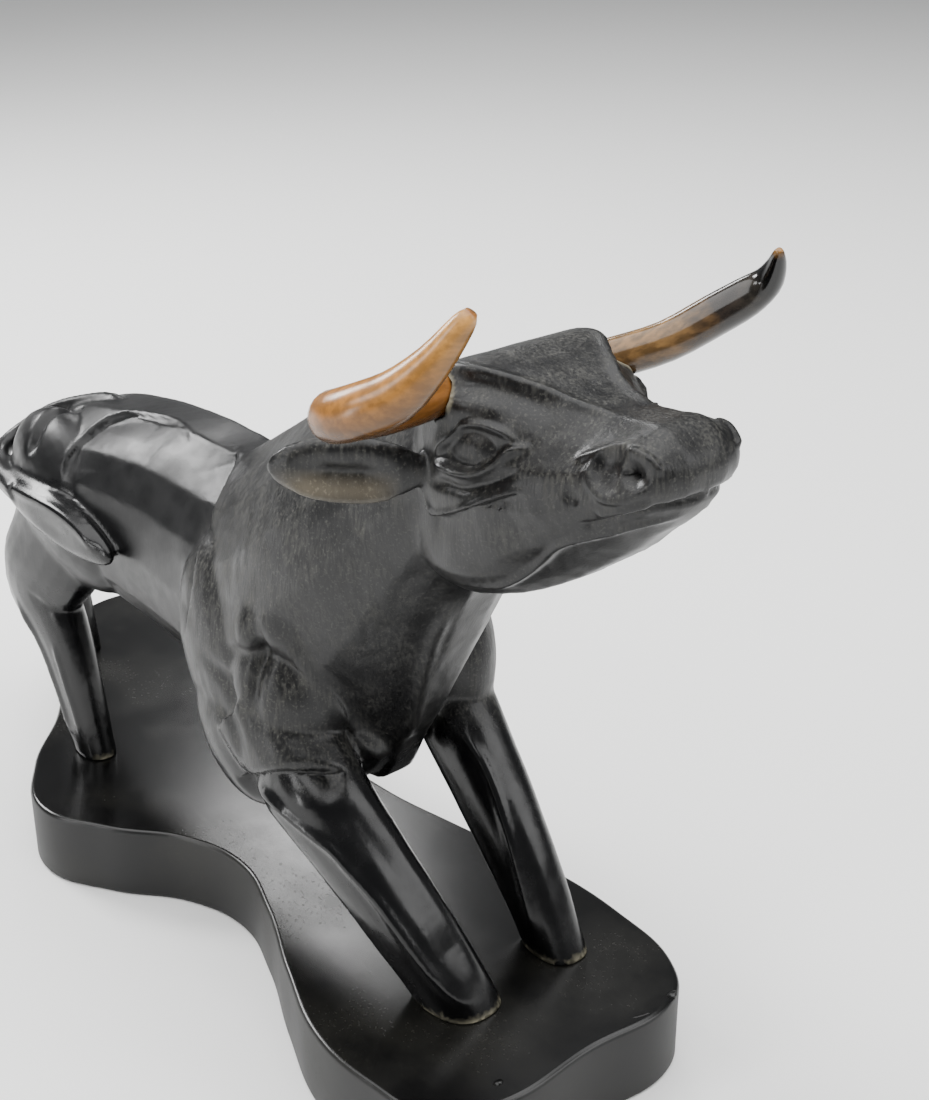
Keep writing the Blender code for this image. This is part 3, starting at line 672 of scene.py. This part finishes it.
# %% Carve the body and legs
def carve_body(skin):
    """Shoulder, chest and keel at the front; the polished flank and the fold of the tail behind."""
    for line, sense in both([(10, -2, 103), (17, -10, 101.5), (20, -17, 97), (24, -22, 91), (28, -27, 85),
                             (29, -30, 77), (27, -31, 67)]):
        skin.step(line, -sense, 1.8, 14, 1.5)
    skin.dimple((52, -30.5, 80), (6, 8, 7), -1.6)
    skin.dimple((60.5, -28, 81), (6.5, 8, 7), -1.8)
    skin.groove([(57, -29, 84), (55.5, -28.5, 76), (54, -27, 68), (54.5, -27, 57)], 2.0, 1.8, 0.35)
    skin.groove([(61, -27, 80), (64, -21, 70), (65, -16, 60), (66, -9, 50), (66.5, -4, 44)], 2.2, -1.4)
    skin.groove([(92, -6.6, 95), (86, -7, 84), (77.5, -5, 65), (70.5, -2, 51)], 1.6, -1.0)
    crescent = [(-40.5, -24.5, 81.5), (-43, -21.5, 85.7), (-43.2, -16, 90.7), (-41.5, -9.6, 93.8),
                (-35.7, -6, 96), (-24, -3.7, 98.6), (-12, -4, 99.5), (-3, -6.5, 99.2)]
    skin.step(crescent, -1, 2.0, 17, 1.0, 0.3)
    skin.groove(crescent, 1.0, -0.4)
    skin.groove([(-56, -24.5, 84), (-57.5, -20, 89), (-59, -13, 92), (-58, -6, 93.5)], 1.8, 2.2)
    skin.groove([(-66, -29, 75.5), (-52, -29.6, 77), (-38, -29.2, 78), (-27, -27.8, 76), (-18, -25, 71)],
                1.3, -1.0)
    skin.dimple((-36, -30, 72), (14, 6, 4.5), 0.9)


def carve_legs(skin):
    """The rim where the chest overhangs the near leg, the crease of the arm, and ridges down the shins."""
    rim = [(45, -31, 40.5), (52, -32.5, 45), (59, -33, 49.5), (65, -31, 52.3), (68.5, -27, 53),
           (71, -20, 51)]
    skin.step(rim, -1, 2.6, 9, 0.8, 0.1)
    skin.groove(rim, 0.9, 0.8)
    skin.groove([(33, -31.5, 68), (42.7, -31.5, 65.5), (49, -32.5, 58), (51.5, -33, 50), (48, -31.4, 43)],
                2.2, 1.0, 0.3)
    skin.groove([(46.5, -31, 41), (60.3, -32.5, 43.5), (67.7, -31, 41), (75.5, -28.2, 38), (81, -25.5, 33.2),
                 (87.5, -22.5, 26.4), (92, -19.8, 19.4), (95.8, -17, 12.4), (98.6, -14.4, 7),
                 (101, -10.6, 2.4)], 1.3, -1.2)
    skin.groove([(70, -26, 47), (79, -21.5, 38), (86.5, -17.5, 28), (92.5, -14, 17), (97.5, -11, 7)],
                4.2, 0.9)
    skin.groove([(70.8, 12, 48.9), (78.3, 13.6, 41), (83.6, 13.8, 32.1), (88.8, 13.6, 21.9),
                 (93.6, 13.4, 11.6), (97.8, 13.2, 1.9)], 1.3, -1.0)
    skin.groove([(-70, -25, 40), (-62, -25, 30), (-55.5, -24.2, 17), (-51, -23.6, 3)], 1.2, -0.9)
    skin.groove([(-54, -25.5, 32), (-49.5, -24.6, 19), (-45.5, -23.8, 5)], 1.1, -0.6)


# %% [markdown]
# ## Tool marks and hand finish
#
# Up close, nothing on the bull is truly smooth. The neck and chest keep the shallow facets of a gouge, and
# the polished back is gently uneven under the finger. Both are real relief of a tenth or two of a
# millimetre, added last from smooth noise, so that highlights break up the way they do on hand-rubbed wood.

# %% Tool marks
def rising(values, start, length):
    """0 up to the start, then a straight rise to 1 over the length."""
    return np.clip((values - start) / length, 0, 1)


def ripple(points, size, seed):
    """Smooth noise from -1 to 1, with lumps of one size in carver's units."""
    shift = Vector((seed * 7.3, seed * 3.1, seed * 5.7))
    return np.array([noise(Vector(p) / size + shift) for p in points])


# The size of the lumps and the depth of each kind of mark, in carver's units.
UNEVEN_SIZE, UNEVEN_DEPTH = 9, 0.14
FACET_SIZE, FACET_DEPTH, FACET_FLATTEN = 3.4, 0.17, 0.45
GRIT_SIZE, GRIT_DEPTH, GRIT_RAISED = 1.5, 0.05, 0.03


def weather(skin):
    """Uneven hand finish all over, and gouge facets on the neck, chest and face."""
    x, _, z = skin.points.T
    gouged = rising(x, 14, 14) * rising(z, 44, 8)
    uneven = ripple(skin.points, UNEVEN_SIZE, 1)
    facets = ripple(skin.points * (1, 1, FACET_FLATTEN), FACET_SIZE, 2)
    grit = ripple(skin.points, GRIT_SIZE, 3)
    depth = POLISH / UNIT + UNEVEN_DEPTH * uneven
    depth = depth + gouged * (FACET_DEPTH * np.abs(facets) + GRIT_DEPTH * grit) - GRIT_RAISED * grit
    skin.press(np.arange(len(skin.points)), depth)


def box(name, low, high):
    """A plain block between two corners, in metres."""
    bpy.ops.mesh.primitive_cube_add(size=1)
    made = bpy.context.object
    made.name = name
    low, high = Vector(low), Vector(high)
    made.data.transform(Matrix.Translation((low + high) / 2) @ Matrix.Diagonal((*(high - low), 1)))
    return made


def cut_with(body, tools):
    """The body with every tool cut out of it, and the tools thrown away."""
    for tool in tools:
        step = body.modifiers.new("cut_" + tool.name, "BOOLEAN")
        step.operation = "DIFFERENCE"
        step.solver = "EXACT"
        step.object = tool
    body = as_mesh(body)
    for tool in tools:
        bpy.data.objects.remove(tool, do_unlink=True)
    return body


def socket(name, horn):
    """The hole that a horn is glued into: its root, a glue gap wider and deeper."""
    root, first = Vector(horn[0][:3]), Vector(horn[1][:3])
    deeper = root - (first - root).normalized() * (GLUE_GAP / UNIT)
    return tube(name, [(*deeper, horn[0][3]), *horn[1:3]], GLUE_GAP)


# %% Carve the bull
EYE_SPOT = (112, 20, 135, 13)
NOSTRIL_SPOT = (142, 12, 137, 11)
EAR_SPOT = (91, 31, 129, 15)
FINE_SPOTS = [((x, side * y, z), radius) for x, y, z, radius in (EYE_SPOT, NOSTRIL_SPOT, EAR_SPOT)
              for side in (-1, 1)]


def carved_bull():
    """All masses fused, carved, weathered, thinned, cut level at the soles and drilled for the horns."""
    body = fuse("carved_bull", [trunk(), neck(), head(), *front_legs(), *hind_legs(), *muscles(), *tail()])
    finer(body, FINE_SPOTS)
    skin = Skin(body)
    print("fused skin:", len(skin.points), "points")
    carve_head(skin)
    carve_body(skin)
    carve_legs(skin)
    weather(skin)
    skin.keep()
    body = lighten(body, BULL_TRIANGLES)
    below = box("ground_cut", [-PLINTH_LENGTH] * 3, (PLINTH_LENGTH, PLINTH_LENGTH, SOLE))
    holes = [as_mesh(socket("right_socket", right_horn())), as_mesh(socket("left_socket", left_horn()))]
    body = cut_with(body, [below, *holes])
    body.data.shade_smooth()
    return body


bull = carved_bull()
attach(bull, "root")
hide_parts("bull")
print("bull:", len(bull.data.polygons), "faces")

# %% [markdown]
# ## Blackened wood
#
# The body is ebonised wood: a fine-grained hardwood stained black and rubbed with wax. Wood under wax has
# an IOR near 1.5, but the open pores break its surface, so a little less light comes back than from a
# solid gloss, and the specular level is set below its usual half. Hands have rubbed the legs and the tail
# right up, and the trunk to a satin. On the neck, the face and the ears the wax has dulled, and pale dust
# sits in the grain. In the lower hollow of each ear the tan dust is laid on brighter, as painted light
# where that hollow catches the lamps. Each of these belongs to a place on the bull, so each is kept as one
# number on every point of the mesh. The material reads the numbers and breaks them up with noise.

# %% A node and a material to start from
def add(tree, kind, out, inputs=(), **settings):
    """Adds one node and gives one of its outputs; inputs maps a socket to a value or to another output."""
    node = tree.nodes.new(kind)
    for name, value in settings.items():
        setattr(node, name, value)
    for name, value in dict(inputs).items():
        if isinstance(value, bpy.types.NodeSocket):
            tree.links.new(value, node.inputs[name])
        else:
            node.inputs[name].default_value = value
    return node.outputs[out]


def start_material(name, ior, specular):
    """A Principled material with the two numbers that are the same all over its surface."""
    made = bpy.data.materials.new(name)
    made.use_nodes = True
    shader = made.node_tree.nodes["Principled BSDF"]
    shader.inputs["IOR"].default_value = ior
    shader.inputs["Specular IOR Level"].default_value = specular
    return made, made.node_tree, shader


def finish_with(piece, material):
    """The piece in one material."""
    piece.data.materials.clear()
    piece.data.materials.append(material)


# %% Where the bull is dusty, rubbed and glued
def paint(body, name, values):
    """Keep one number for each point on the mesh, for a material to read."""
    layer = body.data.attributes.new(name, "FLOAT", "POINT")
    layer.data.foreach_set("value", np.asarray(values, np.float32))


def carver_points(body):
    """The points of a body as rows of x, y and z in carver's units."""
    return ((rows_of(body.data, "co") - (0, 0, SOLE)) / UNIT).T


def dust_on(body):
    """Dust and dull wax on the neck, chest and face, less where they face down."""
    x, _, z = carver_points(body)
    open_to_air = np.clip(0.75 + 0.8 * rows_of(body.data, "normal")[:, 2], 0, 1)
    return rising(x, 16, 12) * rising(z, 46, 6) * open_to_air


def satin_on(body):
    """The trunk and haunches are rubbed to a satin, while the legs and tail are polished right up."""
    x, y, z = carver_points(body)
    tail = np.exp(-((np.abs(y + 27) / 6) ** 2 + ((x + 43) / 30) ** 2 + ((z - 74) / 9) ** 2))
    return rising(z, 46, 8) * np.clip(1 - 1.4 * tail, 0, 1)


# How high glue stands at the soles, how far it spreads round a horn, and where the horn leaves the head.
GLUE_HEIGHT = 1.1
GLUE_SPREAD = 0.7
ROOT_LENGTH = 9


def glue_on(body):
    """Pale glue that was squeezed out at the soles and round the roots of the horns."""
    points = carver_points(body)
    soles = np.clip(1 - points[2] / GLUE_HEIGHT, 0, 1)
    rings = np.zeros(len(soles))
    for horn in (right_horn(), left_horn()):
        root, first = np.array(horn[0][:3]), np.array(horn[1][:3])
        along = (first - root) / np.linalg.norm(first - root)
        offset = points.T - root
        reach = offset @ along
        away = np.linalg.norm(offset - reach[:, None] * along, axis=1)
        ring = np.clip(1 - (away - horn[0][3] - GLUE_GAP / UNIT) / GLUE_SPREAD, 0, 1)
        rings += ring * (reach > 0) * (reach < ROOT_LENGTH)
    return np.clip(soles + rings, 0, 1)


def tan_dust_and_painted_light(body):
    """Tan dust in the two ears, with painted light on the lit lower hollow, strongest along its bottom."""
    x, y, z = carver_points(body)
    along = (np.abs(y) - 25) / 16
    away = np.sqrt((x - 101 + 16.5 * along) ** 2 + ((z - 125.8) * 1.3) ** 2)
    # Painted light: the mask is strongest on the lower hollow, which the lamps light, and fades towards the
    # shaded top.
    dust_with_light = 0.65 * np.clip(1.2 - away / 4.2, 0, 1)
    return dust_with_light * np.clip(along * 4, 0, 1) * np.clip((1.1 - along) * 3, 0, 1)


# %% Ebonised wood
# Real pores are a tenth of a millimetre wide, too fine to show, so the grain is drawn coarser.
GRAIN_WIDTH = 0.7 * MM
GRAIN_STRETCH = (1.0, 1.0, 0.14)
DUST_SPOT = 2.5 * MM
GLUE_SPOT = 6.25 * MM
GRAIN_DEPTH = 0.14 * MM
NOISE = "ShaderNodeTexNoise"
RANGE = "ShaderNodeMapRange"
MATHS = "ShaderNodeMath"
MIX = "ShaderNodeMix"
ATTRIBUTE = "ShaderNodeAttribute"


def ebonised_wood():
    """Black under wax; grey dust in the grain of neck and face, tan dust and painted light in the ears, glue
    at the joints.
    """
    made, tree, shader = start_material("ebonised_wood", 1.5, 0.36)
    where = add(tree, "ShaderNodeTexCoord", "Object")
    dusty = add(tree, ATTRIBUTE, "Fac", attribute_name="dust")
    tan = add(tree, ATTRIBUTE, "Fac", attribute_name="ear_tan_and_light")
    satin = add(tree, ATTRIBUTE, "Fac", attribute_name="satin")
    glue = add(tree, ATTRIBUTE, "Fac", attribute_name="glue")
    # Dust lies in clouds, in the upright grain and in specks, each cut out of its own noise.
    cloud = add(tree, NOISE, "Fac", {"Vector": where, "Scale": 0.35 / DUST_SPOT, "Detail": 6.0,
                                     "Roughness": 0.62})
    cloud = add(tree, RANGE, "Result", {"Value": cloud, "From Min": 0.4, "From Max": 0.66})
    stretch = add(tree, "ShaderNodeMapping", "Vector", {"Vector": where, "Scale": GRAIN_STRETCH})
    streak = add(tree, NOISE, "Fac", {"Vector": stretch, "Scale": 1 / GRAIN_WIDTH, "Detail": 4.0})
    streak = add(tree, RANGE, "Result", {"Value": streak, "From Min": 0.42, "From Max": 0.62})
    specks = add(tree, NOISE, "Fac", {"Vector": where, "Scale": 1.1 / GRAIN_WIDTH, "Detail": 2.0})
    specks = add(tree, RANGE, "Result", {"Value": specks, "From Min": 0.56, "From Max": 0.72})
    film = add(tree, MATHS, 0, {0: cloud, 1: streak}, operation="MULTIPLY")
    specks = add(tree, MATHS, 0, {0: specks, 1: 0.45}, operation="MULTIPLY")
    film = add(tree, MATHS, 0, {0: film, 1: 0.5, 2: specks}, operation="MULTIPLY_ADD")
    film = add(tree, MATHS, 0, {0: film, 1: dusty}, operation="MULTIPLY", use_clamp=True)
    coat = add(tree, MIX, "Result", {"Factor": film, "A": linear("#070708"), "B": linear("#4e4d48")},
               data_type="RGBA")
    # Tan dust with painted light on the lit lower hollow goes over that in the ears, and glue in patches over
    # both.
    grit = add(tree, MATHS, 0, {0: specks, 1: 0.5, 2: 0.5}, operation="MULTIPLY_ADD")
    tan = add(tree, MATHS, 0, {0: tan, 1: grit}, operation="MULTIPLY")
    coat = add(tree, MIX, "Result", {"Factor": tan, "A": coat, "B": linear("#a89d88")}, data_type="RGBA")
    patchy = add(tree, NOISE, "Fac", {"Vector": where, "Scale": 1 / GLUE_SPOT, "Detail": 2.0})
    patchy = add(tree, RANGE, "Result", {"Value": patchy, "From Min": 0.42, "From Max": 0.56})
    glue = add(tree, MATHS, 0, {0: glue, 1: patchy}, operation="MULTIPLY")
    coat = add(tree, MIX, "Result", {"Factor": glue, "A": coat, "B": linear("#8d8875")}, data_type="RGBA")
    tree.links.new(coat, shader.inputs["Base Color"])
    # Polished wood is near 0.2 rough. Clouds of wax, the satin trunk and the dust each add to that.
    worn = add(tree, MATHS, 0, {0: cloud, 1: 0.1, 2: 0.2}, operation="MULTIPLY_ADD")
    rough = add(tree, MATHS, 0, {0: satin, 1: 0.14, 2: worn}, operation="MULTIPLY_ADD")
    rough = add(tree, MATHS, 0, {0: film, 1: 0.25, 2: rough}, operation="MULTIPLY_ADD")
    tree.links.new(rough, shader.inputs["Roughness"])
    # The grain is open where the wood is dusty and filled with wax where it is polished.
    grain = add(tree, NOISE, "Fac", {"Vector": stretch, "Scale": 1.4 / GRAIN_WIDTH, "Detail": 5.0})
    strength = add(tree, MATHS, 0, {0: dusty, 1: 0.3, 2: 0.1}, operation="MULTIPLY_ADD")
    bump = add(tree, "ShaderNodeBump", "Normal", {"Height": grain, "Strength": strength,
                                                  "Distance": GRAIN_DEPTH})
    tree.links.new(bump, shader.inputs["Normal"])
    return made


paint(bull, "dust", dust_on(bull))
# The ear mask is tan dust and painted light together; it is brightest where the lower hollow is lit.
paint(bull, "ear_tan_and_light", tan_dust_and_painted_light(bull))
paint(bull, "satin", satin_on(bull))
paint(bull, "glue", glue_on(bull))
finish_with(bull, ebonised_wood())
print("bull finished in", bull.data.materials[0].name)

# %% [markdown]
# ## The plinth
#
# The plinth is a slab of the same blackened wood, sawn to a free outline with a lobe at each end and a
# waist between, its edges only just broken. A flat curve, filled and extruded, is exactly how it was made.
# Handling has left a chip and a scratch on its front edge and a nick in its top. They are real hollows, so
# they are cut.

# %% Plinth
def plinth_outline():
    """A lobe at each end and a waist between, in shares of length and width; the rear one swings left."""
    right = [(0.498, -0.24), (0.474, -0.353), (0.414, -0.394), (0.343, -0.394), (0.255, -0.318),
             (0.167, -0.222), (0.088, -0.172), (0.016, -0.222), (-0.052, -0.353), (-0.124, -0.434),
             (-0.203, -0.348), (-0.283, -0.172), (-0.371, -0.04), (-0.442, 0.05)]
    left = [(-0.494, 0.192), (-0.49, 0.424), (-0.398, 0.562), (-0.263, 0.545), (-0.135, 0.414),
            (-0.032, 0.303), (0.072, 0.293), (0.175, 0.333), (0.279, 0.384), (0.382, 0.394),
            (0.466, 0.354), (0.498, 0.273), (0.498, 0.02)]
    return [(along * PLINTH_LENGTH, across * PLINTH_WIDTH) for along, across in right + left]


def slab(name, outline, fineness, edge_steps):
    """The outline sawn from a board, with its edges just broken."""
    curve = bpy.data.curves.new(name, "CURVE")
    curve.dimensions = "2D"
    curve.fill_mode = "BOTH"
    curve.extrude = PLINTH_THICKNESS / 2 - PLINTH_EDGE_RADIUS
    curve.bevel_depth = PLINTH_EDGE_RADIUS
    curve.bevel_resolution = edge_steps
    curve.resolution_u = fineness
    spline = curve.splines.new("BEZIER")
    spline.bezier_points.add(len(outline) - 1)
    for target, (x, y) in zip(spline.bezier_points, outline):
        target.co = (x, y, 0)
        target.handle_left_type = target.handle_right_type = "AUTO"
    spline.use_cyclic_u = True
    made = new_object(name, curve)
    made.location.z = PLINTH_THICKNESS / 2
    return made


def sanded(outline):
    """The outline drawn in by what polishing takes off."""
    shrink_x = 1 - 2 * POLISH / PLINTH_LENGTH
    shrink_y = 1 - 2 * POLISH / PLINTH_WIDTH
    return [(x * shrink_x, y * shrink_y) for x, y in outline]


plinth = as_mesh(slab("sawn_plinth", sanded(plinth_outline()), 14, 3))
plinth = cut_with(plinth, [blob("chip", (125.0, 27.8, -0.3), (1.0, 1.6, 0.8)),
                           blob("scratch", (125.4, 17.5, 0.0), (0.3, 2.6, 0.5), (0, 0, -15)),
                           blob("nick", (121.0, -19.5, -0.4), (0.8, 1.2, 0.7))])
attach(plinth, "root")
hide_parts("plinth")


# %% Blackened plinth wood
# Three worn patches in 100 mm; eleven specks and nine coarse grains in 10 mm, so that they show.
WORN_PATCH = 100 * MM / 3
WORN_SPECK = 10 * MM / 11
PLINTH_GRAIN = 10 * MM / 9
PLINTH_GRAIN_DEPTH = 0.1 * MM


def plinth_wood():
    """Black and glossy on top where it is waxed, with worn dusty patches and specks, and dull sawn sides."""
    made, tree, shader = start_material("blackened_plinth_wood", 1.5, 0.4)
    where = add(tree, "ShaderNodeTexCoord", "Object")
    facing = add(tree, "ShaderNodeNewGeometry", "Normal")
    top = add(tree, "ShaderNodeSeparateXYZ", "Z", {"Vector": facing})
    cloud = add(tree, NOISE, "Fac", {"Vector": where, "Scale": 1 / WORN_PATCH, "Detail": 6.0,
                                     "Roughness": 0.6})
    cloud = add(tree, RANGE, "Result", {"Value": cloud, "From Min": 0.45, "From Max": 0.7})
    specks = add(tree, NOISE, "Fac", {"Vector": where, "Scale": 1 / WORN_SPECK, "Detail": 2.0})
    specks = add(tree, RANGE, "Result", {"Value": specks, "From Min": 0.6, "From Max": 0.7})
    worn = add(tree, MATHS, 0, {0: cloud, 1: specks}, operation="MULTIPLY")
    worn = add(tree, MATHS, 0, {0: worn, 1: 0.3}, operation="MULTIPLY")
    worn = add(tree, MATHS, 0, {0: cloud, 1: 0.25, 2: worn}, operation="MULTIPLY_ADD", use_clamp=True)
    black = add(tree, MIX, "Result", {"Factor": worn, "A": linear("#090909"), "B": linear("#33322c")},
                data_type="RGBA")
    tree.links.new(black, shader.inputs["Base Color"])
    sides = add(tree, RANGE, "Result", {"Value": top, "To Min": 0.5, "To Max": 0.2})
    rough = add(tree, MATHS, 0, {0: worn, 1: 0.3, 2: sides}, operation="MULTIPLY_ADD")
    tree.links.new(rough, shader.inputs["Roughness"])
    along = add(tree, "ShaderNodeMapping", "Vector", {"Vector": where, "Scale": (0.1, 1.0, 1.0)})
    grain = add(tree, NOISE, "Fac", {"Vector": along, "Scale": 1 / PLINTH_GRAIN, "Detail": 5.0})
    bump = add(tree, "ShaderNodeBump", "Normal", {"Height": grain, "Strength": 0.1,
                                                  "Distance": PLINTH_GRAIN_DEPTH})
    tree.links.new(bump, shader.inputs["Normal"])
    return made


finish_with(plinth, plinth_wood())
print("plinth:", len(plinth.data.polygons), "faces")

# %% [markdown]
# ## The horns
#
# Each horn is a real horn tip, ground and polished. Horn is keratin in thin layers, with an IOR near 1.55
# and a soft gloss, so its specular level also stays a little under the usual half. The right one is honey
# coloured; the left one has a fibrous tan root, a grey middle and a black bend that ends in an amber point.
# The colours lie in bands along the horn, so each point of the mesh keeps how far along it lies, and a ramp
# turns that into colour. Fibres darken it, and a painted shade darkens the side that faces down.

# %% Horns
SECTION_STEPS = 10


def fine_horn(name, points):
    """A smooth bar through the rows, thinner by what polishing takes off."""
    curve = tube(name, points, -POLISH)
    curve.data.bevel_resolution = SECTION_STEPS
    made = as_mesh(curve)
    made.data.shade_smooth()
    return made


def reach_along(horn, points):
    """How far each point lies along the bar, from 0 at the root to 1 at the tip."""
    line = np.array([place(row[:3]) for row in glide(points, 8)])
    away = np.linalg.norm(rows_of(horn.data, "co")[:, None] - line[None], axis=2)
    return away.argmin(axis=1) / (len(line) - 1)


# %% Layered horn
BAND_WANDER = 0.3
# Three clouds in 25 mm, and seven fibres in 10 mm, which is coarser than real so that they show.
CLOUD_SIZE = 25 * MM / 3
FIBRE_WIDTH = 10 * MM / 7


def layered_horn(name, stops, streak_strength, roughness):
    """Horn coloured along its length through stops of reach and colour, with fine fibres that darken it and
    painted shade on its underside.
    """
    made, tree, shader = start_material(name, 1.55, 0.4)
    where = add(tree, "ShaderNodeTexCoord", "Object")
    reach = add(tree, ATTRIBUTE, "Fac", attribute_name="reach")
    # Noise moves the bands to and fro, so that their edges wander as grown layers do.
    cloud = add(tree, NOISE, "Fac", {"Vector": where, "Scale": 1 / CLOUD_SIZE, "Detail": 4.0})
    wander = add(tree, MATHS, 0, {0: cloud, 1: BAND_WANDER, 2: reach}, operation="MULTIPLY_ADD")
    wander = add(tree, MATHS, 0, {0: wander, 1: BAND_WANDER / 2}, operation="SUBTRACT")
    ramp = add(tree, "ShaderNodeValToRGB", "Color", {"Fac": wander})
    marks = ramp.node.color_ramp.elements
    while len(marks) < len(stops):
        marks.new(0.5)
    for mark, (position, code) in zip(marks, stops):
        mark.position = position
        mark.color = linear(code)
    slant = add(tree, "ShaderNodeMapping", "Vector", {"Vector": where, "Rotation": (0.5, 0.35, 0.4),
                                                      "Scale": (1.0, 0.12, 1.0)})
    fibre = add(tree, NOISE, "Fac", {"Vector": slant, "Scale": 1 / FIBRE_WIDTH, "Detail": 5.0})
    fibre = add(tree, RANGE, "Result", {"Value": fibre, "From Min": 0.4, "From Max": 0.62,
                                        "To Min": 1.0 - streak_strength, "To Max": 1.0})
    # Painted shade: the colour is darkened where the horn faces down, as if shadowed underneath.
    facing = add(tree, "ShaderNodeNewGeometry", "Normal")
    upward = add(tree, "ShaderNodeSeparateXYZ", "Z", {"Vector": facing})
    painted_shade = add(tree, RANGE, "Result", {"Value": upward, "From Min": -0.8, "From Max": 0.5, "To Min": 0.14})
    painted_shade = add(tree, MATHS, 0, {0: painted_shade, 1: fibre}, operation="MULTIPLY")
    colour = add(tree, "ShaderNodeVectorMath", "Vector", {0: ramp, "Scale": painted_shade}, operation="SCALE")
    tree.links.new(colour, shader.inputs["Base Color"])
    shader.inputs["Roughness"].default_value = roughness
    return made


def amber_horn():
    """Honey colour that pales towards the tip, with faint fibres and a satin polish."""
    stops = [(0.0, "#8a5826"), (0.3, "#94602a"), (0.5, "#a16b2f"), (0.75, "#b07a38"), (0.92, "#d29a54"),
             (1.0, "#8a5626")]
    return layered_horn("polished_amber_horn", stops, 0.35, 0.27)


def dark_horn():
    """A tan root with strong fibres, a grey middle, a glossy black bend and an amber point."""
    stops = [(0.0, "#7a5a36"), (0.24, "#8a683e"), (0.38, "#2c241e"), (0.55, "#35302a"), (0.68, "#080808"),
             (0.84, "#0c0a09"), (0.95, "#9a6e38")]
    return layered_horn("polished_dark_horn", stops, 0.55, 0.16)


# %% Both horns
for name, points, finish in (("right_horn", right_horn(), amber_horn()),
                             ("left_horn", left_horn(), dark_horn())):
    horn = fine_horn("polished_" + name, points)
    paint(horn, "reach", reach_along(horn, points))
    finish_with(horn, finish)
    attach(horn, "root")
    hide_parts(name)
    print(horn.name, len(horn.data.polygons), "faces")
